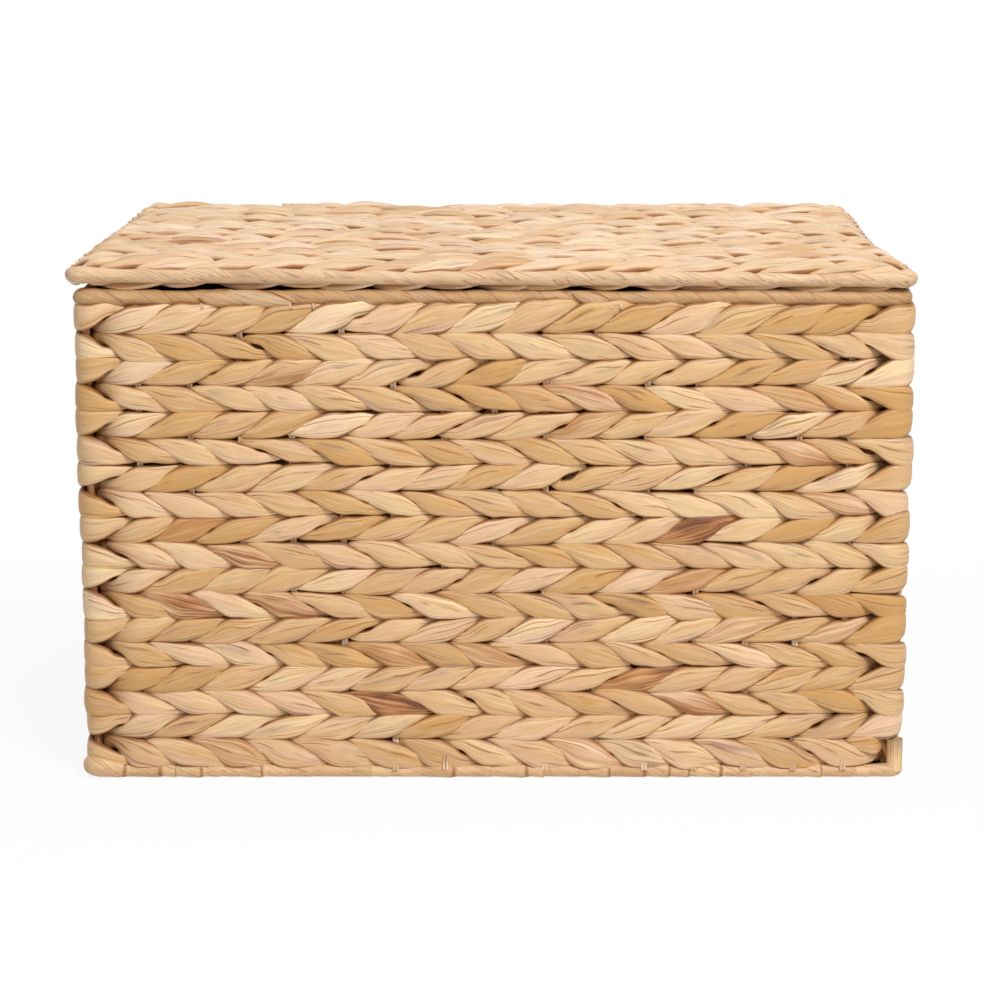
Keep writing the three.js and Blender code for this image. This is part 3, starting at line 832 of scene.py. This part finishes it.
# Cane ends under the front of the body's rim: places along X in millimetres, and ends from the ring
RIM_STUBS = (-176, -123, -109, 64, 69, 75)
STUB_TOP = (0.0, -5.2 * MM, -2.6 * MM)
STUB_END = (0.8 * MM, -7.2 * MM, -5.6 * MM)
STUB_RADIUS = 0.9 * MM
STUB_TONE = 0.35


def cane(start, end, radius, tone=0.0, sides=CANE_SIDES):
    centres = np.array([start, end], float)
    way = unit(centres[1:] - centres[:1])
    side = np.array([[1.0, 0.0, 0.0]]) if abs(way[0, 0]) < 0.5 else np.array([[0.0, 1.0, 0.0]])
    ups = np.repeat(unit(np.cross(way, side)), 2, axis=0)
    outs = np.repeat(side, 2, axis=0)
    angle, across = round_section(2, sides, radius)
    along = np.array([[0.0], [np.linalg.norm(centres[1] - centres[0])]])
    grain = grain_of(
        along, (angle * radius)[None], start[0] * CANE_GRAIN_PER_X + start[1] * CANE_GRAIN_PER_Y)
    return sweep(centres, outs, ups, across, False, marks(grain, tone, stain=tone))


def ring_cane(half_x, half_y, level, radius, plan, lift):
    s = np.arange(RING_STEPS) * 4 * (half_x + half_y) / RING_STEPS
    point, normal = rounded_line(s, half_x, half_y, CORNER_BEND)
    x, y = point.T
    centres = np.column_stack([plan(x, y), y, level + lift(x, y)])
    outs = np.column_stack([normal, np.zeros(RING_STEPS)])
    angle, across = round_section(RING_STEPS, CANE_SIDES, radius)
    grain = grain_of(s[:, None], (angle * radius)[None], level)
    return sweep(centres, outs, np.tile(UPWARD, (RING_STEPS, 1)), across, True, marks(grain))


def stake_places(gaps):
    return (np.arange(1, gaps) - gaps / 2) * pitch


def split_stake(x, y, along_x, along_y):
    """A stake is a cane split in two, with the halves side by side along the wall."""
    halves = []
    for side in (-SPLIT_RADIUS, SPLIT_RADIUS):
        half_x = x + side * along_x
        half_y = y + side * along_y
        halves.append(cane((half_x, half_y, base_z), (half_x, half_y, top_z), SPLIT_RADIUS))
    return halves


def body_canes(material):
    tubes = [ring_cane(stake_x, stake_y, base_z, POST_RADIUS, square_plan, no_lift)]
    tubes.append(ring_cane(stake_x, stake_y, top_z, RING_RADIUS, square_plan, no_lift))
    for x in (-stake_x, stake_x):
        for y in (-stake_y, stake_y):
            # The corner posts are browned in full, which paints them as dark as the shade in the corner
            # holes where they stand
            tubes.append(cane((x, y, base_z), (x, y, top_z), POST_RADIUS, tone=1.0))
        for y in stake_places(GAPS_DEEP):
            tubes += split_stake(x + math.copysign(SPLIT_FORWARD, x), y, 0, 1)
    for x in stake_places(GAPS_WIDE):
        for y in (-stake_y, stake_y):
            tubes += split_stake(x, y + math.copysign(SPLIT_FORWARD, y), 1, 0)
        tubes.append(cane((x, -stake_y, mat_z), (x, stake_y, mat_z), STAKE_RADIUS))
    for stake in HOOKED_STAKES:
        middle = (stake - GAPS_WIDE / 2) * pitch
        for x in (middle - SPLIT_RADIUS, middle + SPLIT_RADIUS):
            top = (x, -stake_y - HOOK_OUT, base_z + HOOK_TOP)
            end = (x, -base_y - BASE_RIM_RADIUS, base_z + HOOK_END)
            tubes.append(cane(top, end, SPLIT_RADIUS, tone=STUB_TONE))
    for x in RIM_STUBS:
        on_ring = np.array([x * MM, -stake_y, top_z])
        tubes.append(cane(on_ring + STUB_TOP, on_ring + STUB_END, STUB_RADIUS, tone=STUB_TONE))
    make_piece("canes_body", tubes, material, "box", ["body_frame"])


def lid_canes(material):
    tubes = [ring_cane(lid_x, lid_y, lid_z - LID_RIM_DROP, RING_RADIUS, lid_plan, lid_rim_lift)]
    y = np.array([-lid_y, lid_y])
    for x in stake_places(GAPS_WIDE):
        ends = np.column_stack([lid_plan(x, y), y, lid_z + lid_lift(x, y)])
        tubes.append(cane(ends[0], ends[1], STAKE_RADIUS))
    make_piece("canes_lid", tubes, material, "lid", ["lid_frame"])


# Loops that tie the lid to the body

LOOP_SEEDS = {"left": 704, "right": 705}
LOOP_TURNS = 5
LOOP_HALF_THICKNESS = 0.7 * MM
LOOP_LOOSENESS = 1.08
LOOP_ARC_STEPS = 24
LOOP_STEPS = 96
LOOP_SIDES = 12
LOOP_FULLNESS = 2.6
LOOP_WAVER = 0.35 * MM
LOOP_HALF_WIDTH = 0.52
LOOP_TONES = (0.3, 0.6)
LOOP_GRAIN_START = 3.0


def drawn_round_two(apart, near_radius, far_radius):
    """A strip's line drawn round two rims, its normals, its evenly spaced steps and its length."""
    lean = math.acos((near_radius - far_radius) / apart)
    far = np.linspace(-lean, lean, LOOP_ARC_STEPS)
    near = np.linspace(lean, TAU - lean, LOOP_ARC_STEPS)
    outline = np.concatenate([
        np.column_stack([apart + far_radius * np.cos(far), far_radius * np.sin(far)]),
        np.column_stack([near_radius * np.cos(near), near_radius * np.sin(near)]),
    ])
    lap = np.concatenate([outline, outline[:1]])
    along = np.concatenate([[0], np.cumsum(np.linalg.norm(np.diff(lap, axis=0), axis=1))])
    steps = np.arange(LOOP_STEPS) * along[-1] / LOOP_STEPS
    line = np.column_stack([np.interp(steps, along, lap[:, k]) for k in (0, 1)])
    back = unit(np.roll(line, 1, axis=0) - np.roll(line, -1, axis=0))
    return line, np.column_stack([-back[:, 1], back[:, 0]]), steps, along[-1]


def loop_turns(side, material):
    node_name = f"hinge_loop_{side}"
    low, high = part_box(node_name)
    rng = np.random.default_rng(LOOP_SEEDS[side])
    width = (high.x - low.x) / LOOP_TURNS
    body_reach = top_rim_radius * LOOP_LOOSENESS + LOOP_HALF_THICKNESS
    lid_reach = lid_rim_radius * LOOP_LOOSENESS + LOOP_HALF_THICKNESS
    axis = np.array([lid_y - stake_y, lid_z + LID_LIFT_BACK - top_z])
    apart = np.linalg.norm(axis)
    way = axis / apart
    cross = np.array([-way[1], way[0]])
    line, normal, steps, length = drawn_round_two(apart, body_reach, lid_reach)
    yz = np.array([stake_y, top_z]) + line[:, :1] * way + line[:, 1:] * cross
    outs = np.column_stack([np.zeros(LOOP_STEPS), normal[:, :1] * way + normal[:, 1:] * cross])
    ups = np.tile([1.0, 0.0, 0.0], (LOOP_STEPS, 1))
    _, oval_out, oval_up = oval(LOOP_SIDES, LOOP_FULLNESS)
    half_width = width * LOOP_HALF_WIDTH
    section = np.stack([oval_out * LOOP_HALF_THICKNESS, oval_up * half_width], -1)
    across = np.repeat(section[None], LOOP_STEPS, axis=0)
    turns = []
    for k in range(LOOP_TURNS):
        x = low.x + (k + 0.5) * width + LOOP_WAVER * np.sin(TAU * steps / length + k)
        grain = grain_of(steps[:, None], (oval_up * half_width)[None], LOOP_GRAIN_START * k)
        values = marks(grain, rng.uniform(*LOOP_TONES))
        turns.append(sweep(np.column_stack([x, yz]), outs, ups, across, True, values))
    make_piece(f"tie_{side}", turns, material, "lid", [node_name])


# Finishes

# Noise scales: counts per metre along the stalk and across it, and a start for each strand
FIBRE_SCALE = (12.0, 900.0, 1.0)
HAIR_SCALE = (40.0, 1700.0, 1.0)
PATCH_SCALE = (30.0, 130.0, 1.0)
BLUSH_SCALE = (18.0, 30.0, 1.3)
SWAY_SCALE = (16.0, 60.0, 1.7)
BARE_SCALE = (34.0, 210.0, 2.1)
NOISE_ROUGHNESS = 0.55

# How much each noise deepens the straw colour, less the level at which a middle tone is half deep
FIBRE_DEEPENS = 1.3
HAIR_DEEPENS = 1.1
PATCH_DEEPENS = 1.1
DEEP_LEVEL = 1.71
BLUSH_RANGE = (0.4, 0.6)

# Fibre lines: how many, how they sway, how wide they are, where they show and how dark they are
VEINS_PER_METRE = 400.0
VEIN_SWAY = 4.0
VEIN_EDGES = (0.14, 0.04)
VEIN_SHOWS = (0.45, 0.58)
VEIN_AT_TIP = 0.5
VEIN_EVERYWHERE = 0.7
VEIN_DARK = 0.95

# Shade in the creases, and rust and brown on the stained leaves
PAINTED_SHADE_POWER = 1.3
PAINTED_SHADE_DARK = 0.92
MOTTLE_STRENGTH = 3.6
RUST_LEVEL = 1.2
BROWN_FROM_STAIN = 0.3
BROWN_MOTTLE = 2.0
BROWN_LEVEL = 0.5

SHEEN = 0.45
SMOOTHEST = 0.38
ROUGHER_FIBRE = 0.25
STALK_RELIEF = 0.08 * MM
STRIP_RELIEF = 0.15 * MM

PALE_STRAW = (0.89, 0.65, 0.38)
ROSY_STRAW = (0.86, 0.59, 0.39)
DEEP_STRAW = (0.60, 0.33, 0.11)
# The lid's stalks: less saturated than the walls', and drawn at a lighter tone
LID_STRAW = (0.84, 0.63, 0.405)
LID_ROSY = (0.84, 0.605, 0.43)
LID_DEEP = (0.62, 0.36, 0.15)
STRIP_STRAW = (0.74, 0.52, 0.31)
STRIP_ROSY = (0.73, 0.485, 0.31)
STRIP_DEEP = (0.52, 0.30, 0.13)
BASE_STRAW = (0.80, 0.54, 0.29)
BASE_ROSY = (0.79, 0.51, 0.29)
PALE_CANE = (0.92, 0.75, 0.54)
DEEP_CANE = (0.80, 0.60, 0.40)
RUSTY_STALK = (0.48, 0.20, 0.06)
BROWN_STALK = (0.15, 0.045, 0.018)
# The dark brown of the painted shade in the creases, which also draws the fibre lines
PAINTED_SHADE_AND_VEIN_BROWN = (0.30, 0.115, 0.028)


def node(tree, kind, at, **settings):
    made = tree.nodes.new(kind)
    made.location = at
    for key, value in settings.items():
        setattr(made, key, value)
    return made


def dried_stalk_group():
    """Streaks, tone and browning of a dried stalk, with painted shade in its creases. Grain runs along x
    and across y, in metres.
    """
    group = bpy.data.node_groups.new("Dried stalk", "ShaderNodeTree")
    face = group.interface
    for name in ("Tone", "Stain", "Painted_shade", "Taper"):
        face.new_socket(name, in_out="INPUT", socket_type="NodeSocketFloat")
    face.new_socket("Grain", in_out="INPUT", socket_type="NodeSocketVector")
    for name in ("Pale", "Rosy", "Deep", "Rust", "Browned", "Shade"):
        face.new_socket(name, in_out="INPUT", socket_type="NodeSocketColor")
    face.new_socket("Color", in_out="OUTPUT", socket_type="NodeSocketColor")
    face.new_socket("Height", in_out="OUTPUT", socket_type="NodeSocketFloat")
    face.new_socket("Roughness", in_out="OUTPUT", socket_type="NodeSocketFloat")
    into = node(group, "NodeGroupInput", (-1200, 0)).outputs
    out = node(group, "NodeGroupOutput", (1300, 0)).inputs
    link = group.links.new

    def noise(at, scale, detail):
        stretch = node(group, "ShaderNodeVectorMath", at, operation="MULTIPLY")
        stretch.inputs[1].default_value = scale
        link(into["Grain"], stretch.inputs[0])
        texture = node(group, "ShaderNodeTexNoise", (at[0] + 200, at[1]), noise_dimensions="3D")
        texture.inputs["Scale"].default_value = 1.0
        texture.inputs["Detail"].default_value = detail
        texture.inputs["Roughness"].default_value = NOISE_ROUGHNESS
        link(stretch.outputs[0], texture.inputs["Vector"])
        return texture.outputs["Fac"]

    def maths(at, operation, *values):
        made = node(group, "ShaderNodeMath", at, operation=operation)
        for socket, value in zip(made.inputs, values):
            if isinstance(value, (int, float)):
                socket.default_value = value
            else:
                link(value, socket)
        return made.outputs[0]

    def ramp(at, value, low, high):
        made = node(group, "ShaderNodeMapRange", at, interpolation_type="SMOOTHSTEP")
        link(value, made.inputs["Value"])
        made.inputs["From Min"].default_value = low
        made.inputs["From Max"].default_value = high
        return made.outputs["Result"]

    def mix(at, share, first, second):
        made = node(group, "ShaderNodeMix", at, data_type="RGBA", clamp_factor=True)
        link(share, made.inputs["Factor"])
        link(first, made.inputs["A"])
        link(second, made.inputs["B"])
        return made.outputs["Result"]

    def veins(at):
        """How near a point lies to one of the lines that run along the stalk and sway a little."""
        parts = node(group, "ShaderNodeSeparateXYZ", at)
        link(into["Grain"], parts.inputs[0])
        sway = noise((at[0], at[1] - 200), SWAY_SCALE, 1.0)
        place = maths(
            (at[0] + 200, at[1]), "MULTIPLY_ADD", parts.outputs["Y"], VEINS_PER_METRE, parts.outputs["Z"])
        place = maths((at[0] + 400, at[1]), "MULTIPLY_ADD", sway, VEIN_SWAY, place)
        lines = node(group, "ShaderNodeTexVoronoi", (at[0] + 600, at[1]), voronoi_dimensions="1D")
        lines.feature = "DISTANCE_TO_EDGE"
        lines.inputs["Scale"].default_value = 1.0
        link(place, lines.inputs["W"])
        return ramp((at[0] + 800, at[1]), lines.outputs["Distance"], *VEIN_EDGES)

    # The ground colour, from pale or rosy to deep
    fibre = noise((-900, 400), FIBRE_SCALE, 3.0)
    hair = noise((-900, 100), HAIR_SCALE, 3.0)
    patch = noise((-900, -200), PATCH_SCALE, 2.0)
    deep = maths((-400, 400), "MULTIPLY_ADD", fibre, FIBRE_DEEPENS, -DEEP_LEVEL)
    deep = maths((-200, 300), "MULTIPLY_ADD", hair, HAIR_DEEPENS, deep)
    deep = maths((0, 200), "MULTIPLY_ADD", patch, PATCH_DEEPENS, deep)
    deep = maths((200, 200), "ADD", deep, into["Tone"])
    blush = ramp((-400, 700), noise((-900, 700), BLUSH_SCALE, 1.0), *BLUSH_RANGE)
    ground = mix((200, 500), blush, into["Pale"], into["Rosy"])
    straw = mix((500, 200), deep, ground, into["Deep"])

    # Brown fibre lines and shaded creases
    shows = ramp((-400, -900), noise((-900, -900), BARE_SCALE, 2.0), *VEIN_SHOWS)
    strength = maths((-200, -700), "MULTIPLY_ADD", into["Taper"], VEIN_AT_TIP, VEIN_EVERYWHERE)
    strength = maths((0, -700), "MULTIPLY", strength, shows)
    lines = maths((200, -600), "MULTIPLY", veins((-900, -500)), strength)
    lines = maths((300, -300), "MULTIPLY", lines, VEIN_DARK)
    # Painted shade in the creases and along leaf edges, mixed in the same brown as the fibre lines
    painted_shade_share = maths((0, -100), "POWER", into["Painted_shade"], PAINTED_SHADE_POWER)
    shade = maths((400, 0), "MULTIPLY_ADD", painted_shade_share, PAINTED_SHADE_DARK, lines)
    lined = mix((700, 100), shade, straw, into["Shade"])

    # Rust and brown in mottled streaks
    mottle = maths((-300, -100), "SUBTRACT", maths((-400, -100), "ADD", fibre, patch), 1.0)
    mottle = maths((-200, -100), "MULTIPLY", mottle, MOTTLE_STRENGTH)
    rust = maths((300, -500), "ADD", mottle, RUST_LEVEL)
    rust = maths((400, -500), "MULTIPLY", into["Stain"], rust)
    rusty = mix((850, 0), rust, lined, into["Rust"])
    brown = maths((300, -700), "SUBTRACT", into["Stain"], BROWN_FROM_STAIN)
    brown = maths(
        (500, -700), "MULTIPLY", brown,
        maths((400, -800), "MULTIPLY_ADD", mottle, BROWN_MOTTLE, BROWN_LEVEL))
    link(mix((1000, 100), brown, rusty, into["Browned"]), out["Color"])
    link(fibre, out["Height"])
    link(maths((1000, -300), "MULTIPLY_ADD", fibre, ROUGHER_FIBRE, SMOOTHEST), out["Roughness"])
    return group


def stalk_material(name, group, pale, rosy, deep, relief):
    material = bpy.data.materials.new(name)
    material.use_nodes = True
    tree = material.node_tree
    shader = tree.nodes["Principled BSDF"]
    shader.inputs["Specular IOR Level"].default_value = SHEEN
    stalk = node(tree, "ShaderNodeGroup", (-400, 200))
    stalk.node_tree = group
    for k, attribute in enumerate(("grain", "tone", "stain", "painted_shade", "taper")):
        source = node(tree, "ShaderNodeAttribute", (-700, 400 - 200 * k), attribute_name=attribute)
        output = "Vector" if attribute == "grain" else "Fac"
        tree.links.new(source.outputs[output], stalk.inputs[attribute.capitalize()])
    colours = {
        "Pale": pale, "Rosy": rosy, "Deep": deep,
        "Rust": RUSTY_STALK, "Browned": BROWN_STALK, "Shade": PAINTED_SHADE_AND_VEIN_BROWN,
    }
    for socket, colour in colours.items():
        stalk.inputs[socket].default_value = (*colour, 1)
    bump = node(tree, "ShaderNodeBump", (-150, -200))
    bump.inputs["Strength"].default_value = 1.0
    bump.inputs["Distance"].default_value = relief
    tree.links.new(stalk.outputs["Color"], shader.inputs["Base Color"])
    tree.links.new(stalk.outputs["Roughness"], shader.inputs["Roughness"])
    tree.links.new(stalk.outputs["Height"], bump.inputs["Height"])
    tree.links.new(bump.outputs["Normal"], shader.inputs["Normal"])
    return material


# The box

# The open corner at the bottom right of the front, with its bare post
BARE_POST_OUT = 2.0 * MM
BARE_POST_HEIGHT = 20 * MM
BARE_POST_RADIUS = 4.9 * MM
BARE_POST_SIDES = 24

stalk = dried_stalk_group()
hyacinth = stalk_material("hyacinth stalk", stalk, PALE_STRAW, ROSY_STRAW, DEEP_STRAW, STALK_RELIEF)
lid_hyacinth = stalk_material(
    "lid hyacinth stalk", stalk, LID_STRAW, LID_ROSY, LID_DEEP, STALK_RELIEF)
rim_strip = stalk_material("rim strip", stalk, STRIP_STRAW, STRIP_ROSY, STRIP_DEEP, STRIP_RELIEF)
base_strip = stalk_material("base strip", stalk, BASE_STRAW, BASE_ROSY, STRIP_DEEP, STRIP_RELIEF)
pale_cane = stalk_material("pale cane", stalk, PALE_CANE, PALE_CANE, DEEP_CANE, STRIP_RELIEF)

for row in range(1, WALL_ROWS + 1):
    wall_row(row, hyacinth)
for row in range(1, LID_ROWS + 1):
    lid_row(row, lid_hyacinth)
base_weave(hyacinth)

# The body's rim is wound a deeper tone than the lid's rim, which paints in the shadow that the lid casts on
# it
top_wrap = wrapped_ring(
    11, stake_x, stake_y, top_z, top_rim_radius, strip=15 * MM, plan=rim_plan, lift=no_lift,
    bulb=0.8 * MM, middle=1.0, starts=2, lifts=0.45, seam_shade=0.6)
base_wrap = wrapped_ring(
    12, base_x, base_y, base_level, BASE_RIM_RADIUS, strip=17 * MM, plan=square_plan, lift=base_knob,
    thicken=base_knob, middle=0.2, lifts=0.25, seam_shade=0.16)
lid_wrap = wrapped_ring(
    13, lid_x, lid_y, lid_z - LID_RIM_DROP, lid_rim_radius - LID_RIM_SLIMMER, strip=15 * MM,
    plan=lid_plan, lift=lid_rim_lift, bulb=0.8 * MM, middle=0.15, starts=2, lifts=0.2, seam_shade=0.12)
splice = [
    laid_strip(
        21, span=(-177 * MM, -147 * MM), turned=(22, -52),
        half_width=6.4 * MM, thickness=2.6 * MM, tone=0.75),
    laid_strip(
        22, span=(-163 * MM, -122 * MM), turned=(38, -30),
        half_width=5.2 * MM, thickness=3.4 * MM, tone=0.35),
    laid_strip(
        24, span=(-170 * MM, -150 * MM), turned=(62, 12),
        half_width=4.0 * MM, thickness=1.8 * MM, tone=0.55),
    laid_strip(
        23, span=(46 * MM, 72 * MM), turned=(45, -55),
        half_width=4.4 * MM, thickness=2.4 * MM, tone=0.7),
]
post_foot = np.array([stake_x + BARE_POST_OUT, -stake_y - BARE_POST_OUT, base_level])
post_head = post_foot + (0, 0, BARE_POST_HEIGHT)
bare_post = cane(post_foot, post_head, BARE_POST_RADIUS, sides=BARE_POST_SIDES)

make_piece("wrap_top_rim", [top_wrap, *splice], rim_strip, "box", ["top_rim_wrap"])
make_piece("wrap_base_rim", [base_wrap, bare_post], base_strip, "box", ["base_rim_wrap"])
make_piece("wrap_lid_rim", [lid_wrap], rim_strip, "lid", ["lid_rim_wrap"])
body_canes(pale_cane)
lid_canes(pale_cane)
for side in ("left", "right"):
    loop_turns(side, rim_strip)


# Stage, light and camera

FLOOR_SIZE = 12.0
FLOOR_PAINT = (0.9, 0.9, 0.9, 1)
WHITE = (1, 1, 1, 1)
SKY_STRENGTH = 0.22

# The floor is nearly white beside the box and wholly white at three times the box's half size
WHITE_BESIDE_BOX = 0.9
WHOLLY_WHITE_AT = 3.0

CAMERA_PLACE = (-0.0018, -1.8635, 0.5527)
CAMERA_LOOKS_DOWN = 12.278
CAMERA_LENS = 105.07
CAMERA_SENSOR = 36.0


def camera_sees(tree):
    """One where a ray comes from the camera, a mirror or glass, else nought."""
    path = node(tree, "ShaderNodeLightPath", (-700, 300))
    seen = node(tree, "ShaderNodeMath", (-500, 300), operation="MAXIMUM")
    also = node(tree, "ShaderNodeMath", (-350, 300), operation="MAXIMUM")
    tree.links.new(path.outputs["Is Camera Ray"], seen.inputs[0])
    tree.links.new(path.outputs["Is Glossy Ray"], seen.inputs[1])
    tree.links.new(seen.outputs[0], also.inputs[0])
    tree.links.new(path.outputs["Is Transmission Ray"], also.inputs[1])
    return also.outputs[0]


def blend_to_white(tree, share, lit, white, out):
    """Shows plain white in place of the lit shader, by share."""
    white.inputs["Color"].default_value = WHITE
    white.inputs["Strength"].default_value = 1.0
    blend = node(tree, "ShaderNodeMixShader", (200, 200))
    tree.links.new(share, blend.inputs[0])
    tree.links.new(lit.outputs[0], blend.inputs[1])
    tree.links.new(white.outputs[0], blend.inputs[2])
    tree.links.new(blend.outputs[0], out.inputs["Surface"])


def make_floor():
    """A white floor. Under the box it is left plain, so that no light shows through the weave."""
    bpy.ops.mesh.primitive_plane_add(size=FLOOR_SIZE, location=(0, 0, 0))
    floor = bpy.context.object
    floor.name = "floor"
    material = bpy.data.materials.new("floor")
    material.use_nodes = True
    tree = material.node_tree
    tree.nodes.clear()
    out = node(tree, "ShaderNodeOutputMaterial", (500, 0))
    paint = node(tree, "ShaderNodeBsdfDiffuse", (0, 200))
    paint.inputs["Color"].default_value = FLOOR_PAINT
    place = node(tree, "ShaderNodeTexCoord", (-1300, 0))
    scaled = node(tree, "ShaderNodeVectorMath", (-1150, 0), operation="DIVIDE")
    scaled.inputs[1].default_value = (stake_x, stake_y, 1)
    size = node(tree, "ShaderNodeVectorMath", (-1000, 0), operation="ABSOLUTE")
    parts = node(tree, "ShaderNodeSeparateXYZ", (-850, 0))
    far = node(tree, "ShaderNodeMath", (-700, 0), operation="MAXIMUM")
    beyond = node(tree, "ShaderNodeMath", (-500, 100), operation="GREATER_THAN")
    beyond.inputs[1].default_value = 1.0
    fade = node(tree, "ShaderNodeMapRange", (-500, -100))
    fade.inputs["From Min"].default_value = 1.0
    fade.inputs["From Max"].default_value = WHOLLY_WHITE_AT
    fade.inputs["To Min"].default_value = WHITE_BESIDE_BOX
    fade.inputs["To Max"].default_value = 1.0
    part = node(tree, "ShaderNodeMath", (-300, 0), operation="MULTIPLY")
    share = node(tree, "ShaderNodeMath", (-150, 100), operation="MULTIPLY")
    link = tree.links.new
    link(place.outputs["Object"], scaled.inputs[0])
    link(scaled.outputs[0], size.inputs[0])
    link(size.outputs[0], parts.inputs[0])
    link(parts.outputs["X"], far.inputs[0])
    link(parts.outputs["Y"], far.inputs[1])
    link(far.outputs[0], beyond.inputs[0])
    link(far.outputs[0], fade.inputs["Value"])
    link(beyond.outputs[0], part.inputs[0])
    link(fade.outputs[0], part.inputs[1])
    link(part.outputs[0], share.inputs[0])
    link(camera_sees(tree), share.inputs[1])
    blend_to_white(tree, share.outputs[0], paint, node(tree, "ShaderNodeEmission", (0, 0)), out)
    floor.data.materials.append(material)


def make_world():
    world = bpy.data.worlds.new("studio")
    bpy.context.scene.world = world
    world.use_nodes = True
    tree = world.node_tree
    tree.nodes.clear()
    out = node(tree, "ShaderNodeOutputWorld", (500, 0))
    sky = node(tree, "ShaderNodeBackground", (0, 200))
    sky.inputs["Color"].default_value = WHITE
    sky.inputs["Strength"].default_value = SKY_STRENGTH
    blend_to_white(tree, camera_sees(tree), sky, node(tree, "ShaderNodeBackground", (0, 0)), out)


def make_lamp(name, place, target, size, power):
    data = bpy.data.lights.new(name, "AREA")
    data.shape = "DISK"
    data.size = size
    data.energy = power
    lamp = bpy.data.objects.new(name, data)
    bpy.context.collection.objects.link(lamp)
    lamp.location = place
    aim = np.array(target) - np.array(place)
    tilt = math.atan2(np.hypot(aim[0], aim[1]), -aim[2])
    heading = math.atan2(-aim[0], aim[1])
    lamp.rotation_euler = (tilt, 0, heading)


def make_camera():
    """The camera of the photograph, worked out from the box's corners and its level rows."""
    data = bpy.data.cameras.new("camera")
    data.sensor_width = CAMERA_SENSOR
    data.lens = CAMERA_LENS
    camera = bpy.data.objects.new("camera", data)
    bpy.context.collection.objects.link(camera)
    camera.location = CAMERA_PLACE
    camera.rotation_euler = (math.radians(90 - CAMERA_LOOKS_DOWN), 0, 0)
    bpy.context.scene.camera = camera


make_floor()
make_world()
make_lamp("key", place=(0.9, -1.7, 2.3), target=(0, 0, 0.15), size=1.1, power=60)
make_lamp("fill", place=(-1.2, -2.4, 1.0), target=(0, 0, 0.15), size=1.8, power=8)
make_lamp("top", place=(0.0, 0.4, 2.3), target=(0, 0, 0.3), size=1.6, power=14)
make_camera()
bpy.context.scene.view_settings.view_transform = "Standard"
